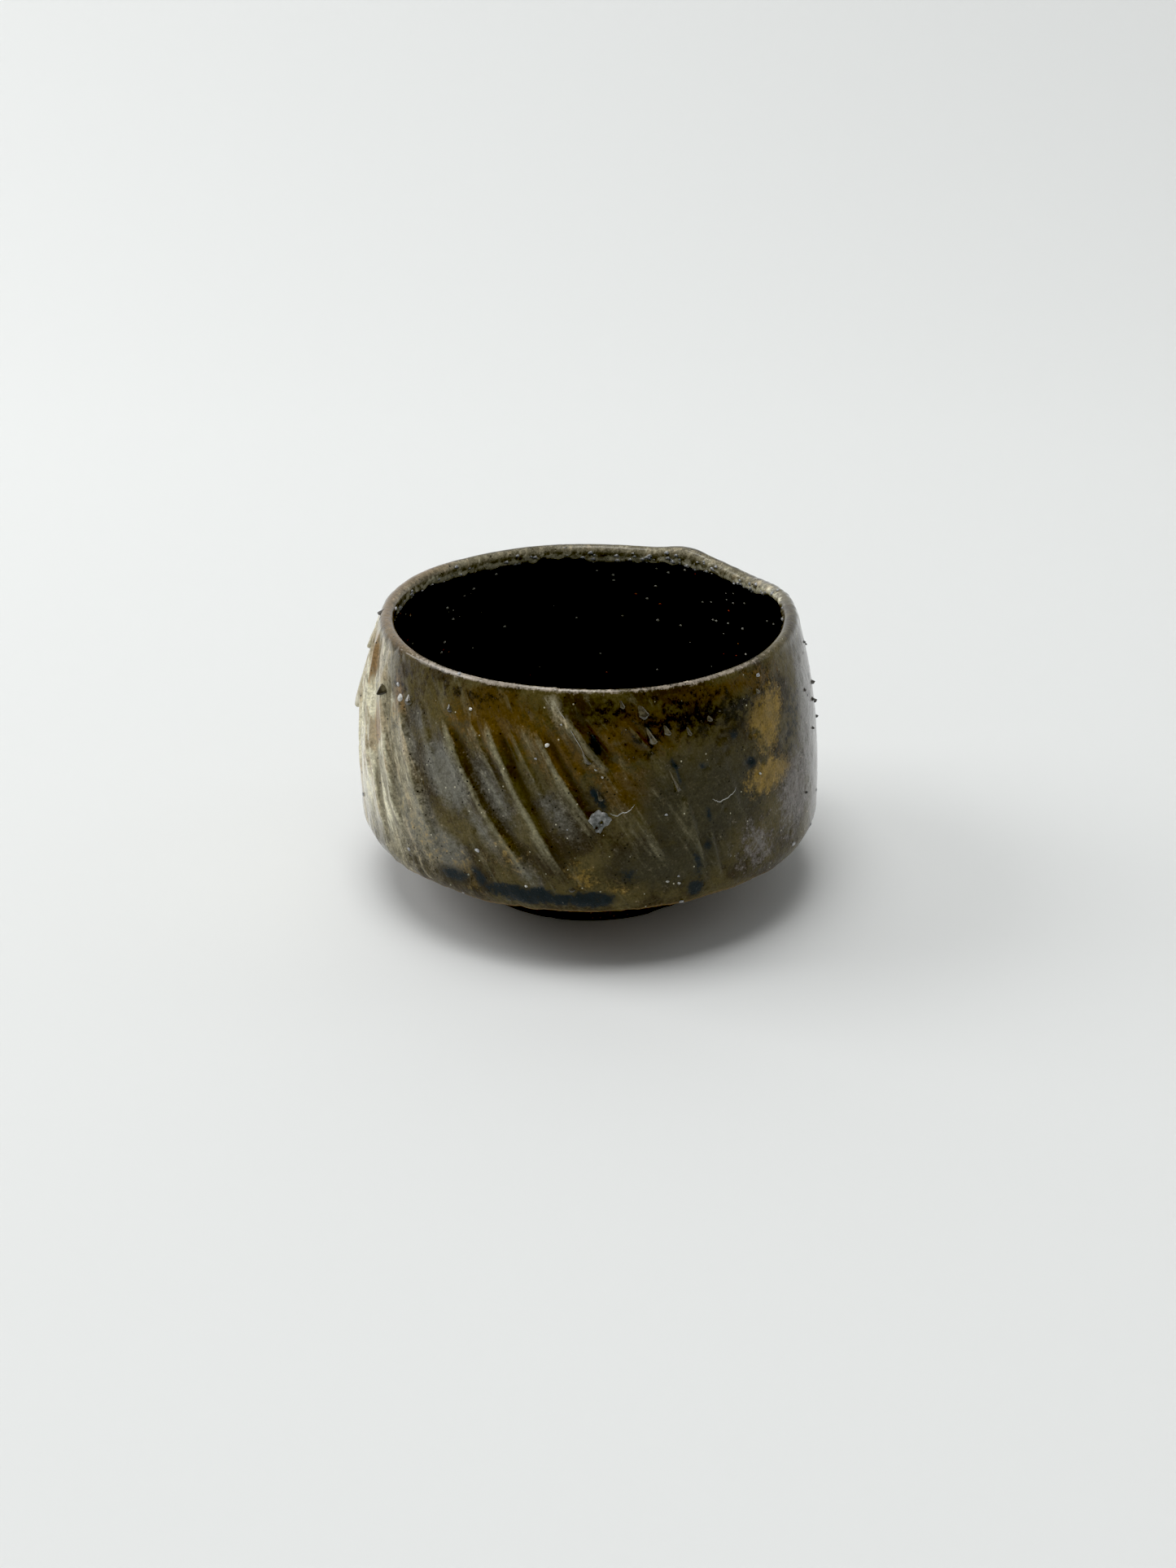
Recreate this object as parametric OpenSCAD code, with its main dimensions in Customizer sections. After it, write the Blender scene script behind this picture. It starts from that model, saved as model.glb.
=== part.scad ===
// Matcha bowl: a wheel-thrown stoneware bowl on a luted foot ring, with a dark glaze
// inside, a runny ash glaze outside, and pale glaze brushed over it in leaning strokes.
// Units are millimetres. The origin is the centre of the foot's resting face, +Z up,
// and azimuths are measured from the front (-Y) towards +X.

/* [Body] */
// Overall height, lip crown to resting face
bowl_h = 70; // [61:0.5:86]
// Widest diameter, over the glaze, at the waist
waist_d = 115; // [104:1:138]
// Outer diameter where the wall meets the lip
rim_d = 101; // [90:1:112]
// Height of the widest point above the start of the hip
waist_rise = 5.2; // [3:0.1:10]
// Wall thickness at the lip, glazes included
lip_w = 3.6; // [3:0.1:5.2]
// Wall thickness at the waist, glazes included
wall_w = 5.6; // [4.6:0.1:7]
// Radius where the wall turns under to the base
hip_r = 5; // [3:0.5:7]
// Slope of the underside from horizontal, in degrees
under_slope = 20; // [14:1:24]
// Clay between the well's rounded corner and the underside
under_w = 2.6; // [2:0.1:5]
// Radius between the inside wall and the well floor
well_r = 16; // [10:1:22]

/* [Foot ring] */
// Outer diameter of the foot ring where it stands
foot_d = 65; // [54:1:72]
// Height of the foot ring
foot_h = 8.5; // [6:0.5:10.5]
// Width of the foot ring
foot_w = 6.5; // [4:0.5:9]
// Bevel on both edges of the resting face
foot_bevel = 0.8; // [0.4:0.1:1.4]

/* [Glaze] */
// Thickness of both glazes
glaze_t = 0.7; // [0.4:0.1:1]
// Angle round the hip at which the outer glaze stops
glaze_stop = 60; // [40:1:64]
// Depth inside the lip to which the outer glaze laps
lip_lap = 6; // [3:0.5:10]

/* [Brushed strokes] */
// Number of strokes
stroke_n = 30; // [12:1:36]
// Azimuth between strokes, in degrees
stroke_pitch = 7.5; // [6:0.1:9]
// Azimuth of the last stroke's top, at the right of the front
stroke_last = 27.5; // [10:0.5:40]
// Azimuth that a stroke sweeps for each millimetre that it falls
stroke_lean = 0.66; // [0.4:0.02:0.9]
// Width of a stroke
stroke_w = 4.2; // [2.5:0.1:5]
// Height of a stroke above the glaze
stroke_h = 0.8; // [0.4:0.1:1.4]
// Clear height left between the strokes and the lip crown
stroke_top_gap = 8.5; // [7:0.5:14]
// Clear height left between the strokes and the start of the hip
stroke_foot_gap = 1.5; // [1:0.5:6]

/* [Hidden] */

turn_fn = 240;       // facets of a full turn, for the preview only
ball_fn = 32;        // facets of the stones, for the preview only
arc_step = 6;        // degrees between the points of a rounded outline
wall_steps = 14;     // spans along the long wall arcs
stroke_spans = 14;   // spans along one stroke
drop_spans = 10;     // spans along one drop
tip = 0.12;          // share of full size at the ends of strokes and drops
neck = 0.75;         // share of full size where a drop's run meets its head
top_waver = 2.5;     // how far the tops of the strokes wander from level, either way
foot_waver = 1.8;    // how far their feet wander
size_waver = 0.12;   // share by which their width and height wander

waist_r = waist_d / 2;
lip_r = lip_w / 2;

// Underside: from the foot ring's outer edge up to the hip's end
function under_z(r) = foot_h + (r - foot_d / 2) * tan(under_slope);
hip_a = 90 - under_slope;
hip_end_r = waist_r - hip_r + (hip_r - glaze_t) * cos(hip_a);
hip_c = [waist_r - hip_r, under_z(hip_end_r) + (hip_r - glaze_t) * sin(hip_a)];
hip_z = hip_c[1];

// Wall: one long arc, vertical at the waist, that reaches the rim diameter at the crown
waist_z = hip_z + waist_rise;
rim_in = waist_r - rim_d / 2;
wall_rise = bowl_h - waist_z;
wall_arc_r = (wall_rise ^ 2 + rim_in ^ 2) / (2 * rim_in);
wall_c = [waist_r - wall_arc_r, waist_z];
lip_a = asin((bowl_h - lip_r - waist_z) / (wall_arc_r - lip_r));
lip_c = wall_c + (wall_arc_r - lip_r) * [cos(lip_a), sin(lip_a)];

// Inside: an arc from the lip down to the well, then the rounded corner and the floor. The
// corner keeps its clay by touching a line that runs parallel to the underside.
well_c_r = waist_r - wall_w - well_r;
well_c = [well_c_r, under_z(well_c_r) + (under_w + glaze_t + well_r) / cos(under_slope)];
lip_inner = lip_c - lip_r * [cos(lip_a), sin(lip_a)];
inner_in = waist_r - wall_w - lip_inner[0];
inner_rise = lip_inner[1] - well_c[1];
inner_arc_r = (inner_rise ^ 2 + inner_in ^ 2) / (2 * inner_in);
inner_c = [waist_r - wall_w - inner_arc_r, well_c[1]];
inner_a = asin(inner_rise / inner_arc_r);
lap_a = asin((bowl_h - lip_lap - well_c[1]) / inner_arc_r);

// Strokes: the height they cover, the bare gap that is always left between two of them,
// and the sector of the bowl that has none, from the first stroke round to the last
stroke_top = bowl_h - stroke_top_gap;
stroke_foot = hip_z + stroke_foot_gap;
stroke_rise = stroke_top - stroke_foot;
gap_w = stroke_pitch * PI / 180 * rim_d / 2 - stroke_w;
plain_sector = 360 - (stroke_n - 1) * stroke_pitch;

// Places on the outside are shares of the plain sector, or gaps between strokes counted from
// the right of the front, and heights there are shares of the strokes' height.
// Feldspar stones: [share of plain sector, height, radius]
PLAIN_STONES = [[0.06, 0.4, 0.8], [0.34, 0.28, 1.1], [0.74, 0.74, 1.4]];
// Feldspar stones between strokes: [gap, height, radius as a share of the gap's width]
GAP_STONES = [[5, 0.45, 0.75], [5, 0.87, 0.45], [3, 0.05, 0.37], [15, 0.59, 0.5], [23, 0.23, 0.5]];
// Feldspar stones inside: [azimuth, height as a share of the wall over the well, radius]
WELL_STONES = [[-34, 0.79, 1.2], [10, 0.62, 1.0], [62, 0.85, 1.3], [118, 0.71, 1.1],
               [163, 0.85, 1.3], [192, 0.51, 1.1], [214, 0.79, 1.2], [257, 0.62, 1.0]];
stone_sink = 0.6;    // depth of a stone's centre under the glaze, as a share of its radius
seam_turn = 45;      // turn of a stone about its own outward axis

// Glaze drops: [share of plain sector, foot height, width, height off the glaze, run]
PLAIN_DROPS = [[0.75, 0.45, 3.0, 1.5, 0.29], [0.53, 0.81, 2.6, 1.3, 0.17], [0.23, 0.93, 1.8, 0.8, 0.07]];
// Glaze drops between strokes: [gap, foot height, width as a share of the gap's, height, run]
GAP_DROPS = [[4, 0.88, 1.2, 1.6, 0.14], [1, 0.98, 1, 1.2, 0.06], [2, 0.86, 0.8, 1, 0.14],
             [1, 0.84, 1, 1.2, 0.06], [2, 0.57, 0.65, 0.9, 0.19], [7, 0.05, 0.75, 0.8, 0.05],
             [4, 0.07, 0.75, 0.8, 0.05], [11, 0.83, 0.8, 1.5, 0.14], [10, 0.83, 0.8, 1.1, 0.07],
             [16, 0.78, 0.8, 2.2, 0.22], [24, 0.5, 0.7, 1.5, 0.22], [28, 0.83, 0.8, 1.4, 0.17]];

// Kiln grit: [share of plain sector, height, size]
PLAIN_GRIT = [[0.35, 0.76, 1.3], [0.35, 0.59, 1.2], [0.36, 0.45, 1.4], [0.3, 0.69, 1.0],
              [0.27, 0.81, 0.9], [0.46, 0.88, 1.2], [0.12, 0.23, 0.9], [0.38, 0.18, 1.2], [0.59, 0.54, 1.3]];
// Kiln grit above the strokes: [gap, height, size]
GAP_GRIT = [[14, 1.08, 1.3]];
grit_sink = 0.35;    // share of a grain's size that sits in the glaze

function arc_points(c, r, a0, a1) =
    let (n = max(2, ceil(abs(a1 - a0) / arc_step)))
    [for (i = [0:n]) let (a = a0 + (a1 - a0) * i / n) c + r * [cos(a), sin(a)]];

function wall_points(c, r, a0, a1, n) =
    [for (i = [1:n]) let (a = a0 + (a1 - a0) * i / n) c + r * [cos(a), sin(a)]];

function reversed(list) = [for (i = [len(list) - 1:-1:0]) list[i]];

function rest(list) = [for (i = [1:len(list) - 1]) list[i]];

// Outer surface, t below the glaze: lip crown to where the outer glaze stops
function outer_line(t) = concat(
    arc_points(lip_c, lip_r - t, 90, lip_a),
    wall_points(wall_c, wall_arc_r - t, lip_a, 0, wall_steps),
    arc_points(hip_c, hip_r - t, 0, -glaze_stop));

// Bare clay: from where the outer glaze stops to the middle of the base
function base_line() = concat(
    rest(arc_points(hip_c, hip_r - glaze_t, -glaze_stop, -hip_a)),
    [[foot_d / 2, foot_h], [0, foot_h]]);

// Inner surface, t below the glaze: from just inside the lip crown down to the lap's end
function lap_line(t) = concat(
    rest(arc_points(lip_c, lip_r - t, 90, 180 + lip_a)),
    wall_points(inner_c, inner_arc_r + t, inner_a, lap_a, 2));

// Inner surface, t below the glaze: from the lap down to the middle of the floor
function well_line(t) = concat(
    [inner_c + (inner_arc_r + t) * [cos(lap_a), sin(lap_a)]],
    wall_points(inner_c, inner_arc_r + t, lap_a, 0, wall_steps),
    wall_points(well_c, well_r + t, 0, -90, ceil(90 / arc_step)),
    [[0, well_c[1] - well_r - t]]);

// Outer radius at height z, t below the glaze
function wall_radius(z, t) =
    z >= waist_z ? wall_c[0] + sqrt((wall_arc_r - t) ^ 2 - (z - waist_z) ^ 2)
    : z >= hip_z ? waist_r - t
    : hip_c[0] + sqrt((hip_r - t) ^ 2 - (hip_z - z) ^ 2);

// Inner radius at height z
function well_radius(z) = z >= inner_c[1]
    ? inner_c[0] + sqrt(inner_arc_r ^ 2 - (z - inner_c[1]) ^ 2)
    : waist_r - wall_w;

function at(azimuth, r, z) = [r * sin(azimuth), -r * cos(azimuth), z];

module revolve(points) rotate_extrude($fn = turn_fn) polygon(points);

// The bowl's clay with nothing set into it
module bare_clay() {
    revolve(concat(
        outer_line(glaze_t),
        base_line(),
        reversed(rest(well_line(glaze_t))),
        reversed(lap_line(glaze_t))));
}

// Everything inside the outer glaze's surface, for trimming what lies on it
module glazed_solid() {
    revolve(concat([[0, bowl_h]], outer_line(0), [[0, hip_c[1] - hip_r]]));
}

// Height on the outside, from a share of the strokes' height
function stroke_z(share) = stroke_foot + share * stroke_rise;

// Azimuth at height z of the gap that follows stroke i
function gap_azimuth(i, z) =
    stroke_last - (i + 0.5) * stroke_pitch + stroke_lean * (stroke_top - z);

// Azimuth at height z of a share of the plain sector
function plain_azimuth(share, z) =
    stroke_last + share * plain_sector + stroke_lean * (stroke_top - z);

// A stone, with a pole facing out of the wall and its seam slanting across the wall's level joins
module stone(azimuth, r, z, size) translate(at(azimuth, r, z))
    rotate([90, 0, azimuth]) rotate(seam_turn) sphere(r = size, $fn = ball_fn);

module outer_stone(azimuth, z, size) stone(azimuth, wall_radius(z, 0) - stone_sink * size, z, size);

module stones() {
    for (s = PLAIN_STONES)
        let (z = stroke_z(s[1])) outer_stone(plain_azimuth(s[0], z), z, s[2]);
    for (s = GAP_STONES)
        let (z = stroke_z(s[1])) outer_stone(gap_azimuth(s[0], z), z, s[2] * gap_w);
    for (s = WELL_STONES)
        let (z = well_c[1] + s[1] * (bowl_h - lip_lap - well_c[1]))
        stone(s[0], well_radius(z) + stone_sink * s[2], z, s[2]);
}

// Something laid on the outer glaze, that leans as it follows the wall down. section is its
// outline, [share of w, share of h], and swell gives the share of full size along its length.
module laid_on(azimuth, top, foot, w, h, section, spans, swell) {
    sides = len(section);
    last = spans * sides;
    points = [for (i = [0:spans])
        let (f = i / spans, z = top + (foot - top) * f, size = swell(f),
             a = azimuth + stroke_lean * (top - z), r = wall_radius(z, 0))
        for (p = section)
            at(a + p[0] * w * size / r * 180 / PI, r + p[1] * h * size, z)];
    polyhedron(points, concat(
        [[for (k = [0:sides - 1]) k]],
        [[for (k = [sides - 1:-1:0]) last + k]],
        [for (i = [0:spans - 1], k = [0:sides - 1])
            let (b = i * sides, n = (k + 1) % sides)
            each [[b + k, b + sides + k, b + sides + n], [b + k, b + sides + n, b + n]]]),
        convexity = 4);
}

// A stroke's section is a wave with its steep side to the right
STROKE_SECTION = [[-0.5, 0], [0.5, 0], [0.38, 0.6], [0.18, 1], [-0.08, 0.7], [-0.3, 0.3]];
DROP_SECTION = [[-0.5, 0], for (a = [0:30:150]) 0.5 * [cos(a), 2 * sin(a)]];

// A drop on the glaze: a thin run that ends in a round head, at azimuth where its foot is
module drop(azimuth, foot, w, h, run) {
    top = foot + w + run;
    head = run / (w + run);
    laid_on(azimuth - stroke_lean * (top - foot), top, foot, w, h, DROP_SECTION, drop_spans,
        function (f) let (s = (f - head) / (1 - head))
            f < head ? tip + (neck - tip) * f / head
            : (neck + (1 - neck) * sin(180 * s)) * sqrt(max(tip ^ 2, 1 - s ^ 4)));
}

// A grain of kiln grit, before the glaze it sits in is cut away
module grain(azimuth, z, size)
    translate(at(azimuth, wall_radius(z, 0) + size * (0.5 - grit_sink), z))
        rotate([azimuth * 3, z * 5, azimuth]) cube(size, center = true);

module clay_body() {
    color("sienna") difference() {
        bare_clay();
        stones();
    }
}

module foot_ring() {
    outer = foot_d / 2;
    inner = outer - foot_w;
    color("saddlebrown") revolve([
        [inner + foot_bevel, 0], [outer - foot_bevel, 0], [outer, foot_bevel],
        [outer, foot_h], [inner, foot_h], [inner, foot_bevel]]);
}

module brushed_strokes() {
    color("beige")
        for (i = [0:stroke_n - 1])
            let (size = 1 - size_waver * (1 - sin(i * 71)),
                 top = stroke_top - top_waver * (1 + sin(i * 137)),
                 foot = stroke_foot + foot_waver * (1 + sin(i * 211)))
            laid_on(stroke_last - i * stroke_pitch + stroke_lean * (stroke_top - top), top, foot,
                    stroke_w * size, stroke_h * size, STROKE_SECTION, stroke_spans,
                    function (f) tip + (1 - tip) * sin(180 * f) ^ 0.6);
}

module outer_glaze() {
    color("darkolivegreen") difference() {
        revolve(concat(
            reversed(outer_line(0)),
            lap_line(0),
            reversed(lap_line(glaze_t)),
            outer_line(glaze_t)));
        stones();
    }
}

module inner_glaze() {
    color("black") difference() {
        revolve(concat(well_line(0), reversed(well_line(glaze_t))));
        stones();
    }
}

module glaze_drops() {
    color("olivedrab") {
        for (d = PLAIN_DROPS)
            let (z = stroke_z(d[1])) drop(plain_azimuth(d[0], z), z, d[2], d[3], d[4] * stroke_rise);
        for (d = GAP_DROPS)
            let (z = stroke_z(d[1])) drop(gap_azimuth(d[0], z), z, d[2] * gap_w, d[3], d[4] * stroke_rise);
    }
}

module feldspar_stones() {
    color("white") stones();
}

module kiln_grit() {
    color("dimgray") difference() {
        union() {
            for (g = PLAIN_GRIT) let (z = stroke_z(g[1])) grain(plain_azimuth(g[0], z), z, g[2]);
            for (g = GAP_GRIT) let (z = stroke_z(g[1])) grain(gap_azimuth(g[0], z), z, g[2]);
        }
        glazed_solid();
    }
}

clay_body();
foot_ring();
brushed_strokes();
outer_glaze();
inner_glaze();
glaze_drops();
feldspar_stones();
kiln_grit();
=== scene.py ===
"""A wheel-thrown matcha bowl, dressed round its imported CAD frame.

The pieces follow the order in which such a bowl is made: a thrown body on a turned foot, a
black lining, a runny ash jacket brushed with pale glaze, then the drops, stones and kiln grit
that the firing leaves on it. Lengths are in millimetres until a mesh is made. Azimuths are in
degrees from the front (-Y) towards +X.
"""
import logging
import math
from dataclasses import dataclass, field
from enum import Enum
from typing import Any, Callable, ClassVar, Sequence, Union

import bmesh
import bpy
import numpy as np
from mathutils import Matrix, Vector


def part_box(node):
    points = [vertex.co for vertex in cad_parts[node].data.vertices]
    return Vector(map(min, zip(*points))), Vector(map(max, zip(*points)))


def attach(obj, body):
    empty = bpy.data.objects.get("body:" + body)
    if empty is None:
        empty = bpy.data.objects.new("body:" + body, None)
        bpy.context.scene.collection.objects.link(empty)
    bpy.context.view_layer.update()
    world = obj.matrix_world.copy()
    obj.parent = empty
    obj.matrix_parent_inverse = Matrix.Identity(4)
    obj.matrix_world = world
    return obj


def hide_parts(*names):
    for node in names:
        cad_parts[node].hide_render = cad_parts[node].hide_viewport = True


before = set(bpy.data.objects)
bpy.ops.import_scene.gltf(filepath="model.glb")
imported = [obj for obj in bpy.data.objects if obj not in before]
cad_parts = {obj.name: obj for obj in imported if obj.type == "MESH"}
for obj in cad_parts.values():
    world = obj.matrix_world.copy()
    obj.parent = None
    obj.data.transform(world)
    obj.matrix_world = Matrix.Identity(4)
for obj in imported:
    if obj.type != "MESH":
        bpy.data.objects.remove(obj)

MM = 0.001
BODY = "root"
MERGE = 0.004 * MM
LEAN = 0.62         # degrees that the brushing turns for each millimetre of fall
UNDER_HIP = 74.0    # angle round the hip at which the outlines of the glazes end
Colour = tuple[float, float, float]
Array = np.ndarray
log = logging.getLogger("matcha_bowl")


# ---------------------------------------------------------------- noise and small shape maths

def lattice(cells: Array, seed: int) -> Array:
    """Gives every cell corner a fixed random number.

    Args:
        cells: Whole-number corners, one row of three for each point.
        seed: Number of the noise field.

    Returns:
        One value from -1 to 1 for each row.
    """
    c = cells.astype(np.uint32)
    h = c[:, 0] * np.uint32(73856093) ^ c[:, 1] * np.uint32(19349663) ^ c[:, 2] * np.uint32(83492791)
    h = (h ^ np.uint32(seed * 2654435 + 97)) * np.uint32(2246822519)
    h = (h ^ (h >> np.uint32(13))) * np.uint32(3266489917)
    h ^= h >> np.uint32(16)
    return h.astype(np.float64) / 2147483647.5 - 1.0


def noise(points: Array, scale: float, seed: int, octaves: int = 1) -> Array:
    """Smooth noise at points, from -1 to 1.

    Args:
        points: Places in millimetres, one row of three for each.
        scale: Size of a lump, in millimetres.
        seed: Number of the noise field.
        octaves: How many finer layers are added, each half as large and half as strong.

    Returns:
        One value for each point.
    """
    total, weight = np.zeros(len(points)), 0.0
    for octave in range(octaves):
        p = points / (scale * 0.5 ** octave) + 31.7 * (octave + 1)
        cell = np.floor(p)
        f = p - cell
        f = f * f * (3 - 2 * f)
        cell = cell.astype(np.int64)
        value = np.zeros(len(points))
        for corner in np.ndindex(2, 2, 2):
            w = np.prod(np.where(corner, f, 1 - f), axis=1)
            value += w * lattice(cell + np.array(corner), seed + octave)
        total += value * 0.5 ** octave
        weight += 0.5 ** octave
    return total / weight


def smooth(low: float, high: float, x: Array) -> Array:
    """Smooth step from 0 at low to 1 at high."""
    t = np.clip((x - low) / (high - low), 0, 1)
    return t * t * (3 - 2 * t)


def bump(x: Array, width: float) -> Array:
    """Bell of height 1 about zero, with the given half width."""
    return np.exp(-(x / width) ** 2)


def turn(a: Array) -> Array:
    """Brings azimuths into the range from -180 to 180."""
    return (a + 180) % 360 - 180


def arc(centre: Sequence[float], radius: float, start: float, end: float, points: int = 24) -> Array:
    """Points on an arc in the plane of radius and height, angles in degrees."""
    a = np.radians(np.linspace(start, end, points))
    return np.column_stack([centre[0] + radius * np.cos(a), centre[1] + radius * np.sin(a)])


# ---------------------------------------------------------------- the bowl's form

@dataclass(frozen=True)
class BowlForm:
    """The form all pieces share: the thrown outline and its hand-made unevenness.

    Args:
        height: Lip crown to resting face.
        waist_r: Largest radius, over the glaze.
        foot_r: Outer radius of the foot ring.
        foot_h: Height of the foot ring.
        well_floor: Height of the glazed floor inside.
    """

    height: float
    waist_r: float
    foot_r: float
    foot_h: float
    well_floor: float
    rim_r: float = 50.5
    waist_rise: float = 5.2
    lip_w: float = 3.6
    wall_w: float = 5.6
    hip_r: float = 5.0
    under_slope: float = 20.0
    well_r: float = 16.0
    foot_w: float = 6.5
    glaze_t: float = 0.7
    glaze_stop: float = 60.0

    @classmethod
    def from_frame(cls) -> "BowlForm":
        """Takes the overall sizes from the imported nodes.

        Returns:
            The form, with the sizes that the nodes don't show left at their named values.
        """
        jacket, foot, lining = (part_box(n) for n in ("outer_glaze", "foot_ring", "inner_glaze"))
        return cls(
            height=jacket[1].z / MM,
            waist_r=(jacket[1].x - jacket[0].x) / 2 / MM,
            foot_r=(foot[1].x - foot[0].x) / 2 / MM,
            foot_h=foot[1].z / MM,
            well_floor=lining[0].z / MM + cls.glaze_t,
        )

    @property
    def hip(self) -> tuple[float, float]:
        """Centre of the arc where the wall turns under."""
        end = math.radians(90 - self.under_slope)
        clay_r = self.hip_r - self.glaze_t
        end_r = self.waist_r - self.hip_r + clay_r * math.cos(end)
        rise = (end_r - self.foot_r) * math.tan(math.radians(self.under_slope))
        return self.waist_r - self.hip_r, self.foot_h + rise + clay_r * math.sin(end)

    @property
    def waist_z(self) -> float:
        """Height at which the wall is widest."""
        return self.hip[1] + self.waist_rise

    @property
    def wall_r(self) -> float:
        """Radius of the outer wall's long arc."""
        inward, rise = self.waist_r - self.rim_r, self.height - self.waist_z
        return (rise ** 2 + inward ** 2) / (2 * inward)

    @property
    def lip(self) -> tuple[float, float, float]:
        """Centre of the lip's round, and the angle at which it meets the wall."""
        reach = self.wall_r - self.lip_w / 2
        angle = math.asin((self.height - self.lip_w / 2 - self.waist_z) / reach)
        centre = self.waist_r - self.wall_r + reach * math.cos(angle)
        return centre, self.height - self.lip_w / 2, math.degrees(angle)

    def glazed_line(self, depth: float, stop: float) -> Array:
        """Outline from the middle of the well, over the lip and down to the hip.

        Args:
            depth: Depth of the line under the glazed surface.
            stop: Angle round the hip at which the line ends.

        Returns:
            Rows of radius and height.
        """
        lip_r0, lip_z, lip_a = self.lip
        half = self.lip_w / 2
        well = (self.waist_r - self.wall_w - self.well_r, self.well_floor + self.well_r)
        lip_in = (lip_r0 - half * math.cos(math.radians(lip_a)), lip_z - half * math.sin(math.radians(lip_a)))
        inward, rise = self.waist_r - self.wall_w - lip_in[0], lip_in[1] - well[1]
        long_r = (rise ** 2 + inward ** 2) / (2 * inward)
        inner = (self.waist_r - self.wall_w - long_r, well[1])
        return np.vstack([
            [[0.0, self.well_floor - depth]],
            arc(well, self.well_r + depth, -90, 0, 40),
            arc(inner, long_r + depth, 0, math.degrees(math.asin(rise / long_r)), 40),
            arc((lip_r0, lip_z), half - depth, 180 + lip_a, lip_a, 40),
            arc((self.waist_r - self.wall_r, self.waist_z), self.wall_r - depth, lip_a, 0, 60),
            arc(self.hip, self.hip_r - depth, 0, -stop, 24),
        ])

    def wall_radius(self, z: Array) -> Array:
        """Outer radius of the even form at a height."""
        z = np.asarray(z, float)
        long_arc = self.waist_r - self.wall_r + np.sqrt(
            np.maximum(self.wall_r ** 2 - np.maximum(z - self.waist_z, 0) ** 2, 0))
        hip = self.hip[0] + np.sqrt(np.maximum(self.hip_r ** 2 - np.maximum(self.hip[1] - z, 0) ** 2, 0))
        return np.where(z >= self.hip[1], long_arc, hip)

    def hand(self, points: Array) -> Array:
        """Moves points of the even form to where the potter's hand left them.

        Args:
            points: Rows of x, y, z in millimetres.

        Returns:
            The moved rows.
        """
        x, y, z = points.T
        r = np.hypot(x, y)
        a = np.degrees(np.arctan2(x, -y))
        up = np.clip((z - self.foot_h) / (self.height - self.foot_h), 0, 1)

        def wave(turns: int, phase: float) -> Array:
            """A wave that goes round the bowl a whole number of times."""
            return np.cos(np.radians(turns * a + phase))

        oval = 0.30 * wave(2, 40) + 0.22 * wave(3, -70) + 0.12 * wave(5, 15)
        out = r + up * oval * np.clip(r / self.rim_r, 0, 1)
        rim = 0.15 * wave(2, 150) + 0.15 * wave(3, 20) + 0.10 * wave(7, 80)
        rim += 0.9 * bump(turn(a - 149), 6) - 1.7 * bump(turn(a - 124), 15) - 0.3 * bump(turn(a + 62), 16)
        front, back = smooth(85, 25, np.abs(a)), smooth(95, 165, np.abs(a))
        rim -= 0.8 * front + 0.3 * back
        out -= 0.9 * back * up ** 3
        edge = smooth(0.84, 1.0, up) * np.where(r > 0.8 * self.rim_r, 1.0, 0.0)
        out += 0.45 * front * edge * np.maximum(self.wall_radius(z) - r, 0)
        scale = np.divide(out, r, out=np.ones_like(r), where=r > 1e-6)
        return np.column_stack([x * scale, y * scale, z + rim * up ** 6])


class Outline:
    """A line in the plane of radius and height, read by its arc length."""

    def __init__(self, points: Array) -> None:
        """Measures the line. Points that repeat are dropped."""
        keep = np.ones(len(points), bool)
        keep[1:] = np.linalg.norm(np.diff(points, axis=0), axis=1) > 1e-6
        self.points = points[keep]
        steps = np.linalg.norm(np.diff(self.points, axis=0), axis=1)
        self.s = np.concatenate([[0], np.cumsum(steps)])
        tangent = np.gradient(self.points, self.s, axis=0)
        tangent /= np.linalg.norm(tangent, axis=1)[:, None]
        self.normal = np.column_stack([-tangent[:, 1], tangent[:, 0]])

    @property
    def crown(self) -> float:
        """Arc length at the highest point."""
        return float(self.s[np.argmax(self.points[:, 1])])

    def at(self, s: Array) -> tuple[Array, Array, Array, Array]:
        """Radius, height and outward normal at arc lengths."""
        return tuple(np.interp(s, self.s, v) for v in (*self.points.T, *self.normal.T))

    def inside_at(self, z: float) -> float:
        """Arc length at which the inner wall has the height z."""
        before = self.s <= self.crown
        return float(np.interp(z, self.points[before, 1], self.s[before]))

    def rows(self, start: Array, end: Array, count: int) -> Array:
        """Arc lengths of a grid, row by row, between a start and an end for each column."""
        share = np.linspace(0, 1, count)[:, None]
        return start[None, :] * (1 - share) + end[None, :] * share


# ---------------------------------------------------------------- meshes

def columns(count: int) -> Array:
    """Azimuths of the columns of a turned piece."""
    return np.arange(count) * 360.0 / count


def place(a: Array, r: Array, z: Array) -> Array:
    """Rows of x, y, z from azimuths in degrees, radii and heights."""
    rad = np.radians(a)
    return np.column_stack([(r * np.sin(rad)).ravel(), (-r * np.cos(rad)).ravel(), np.ravel(z)])


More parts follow.
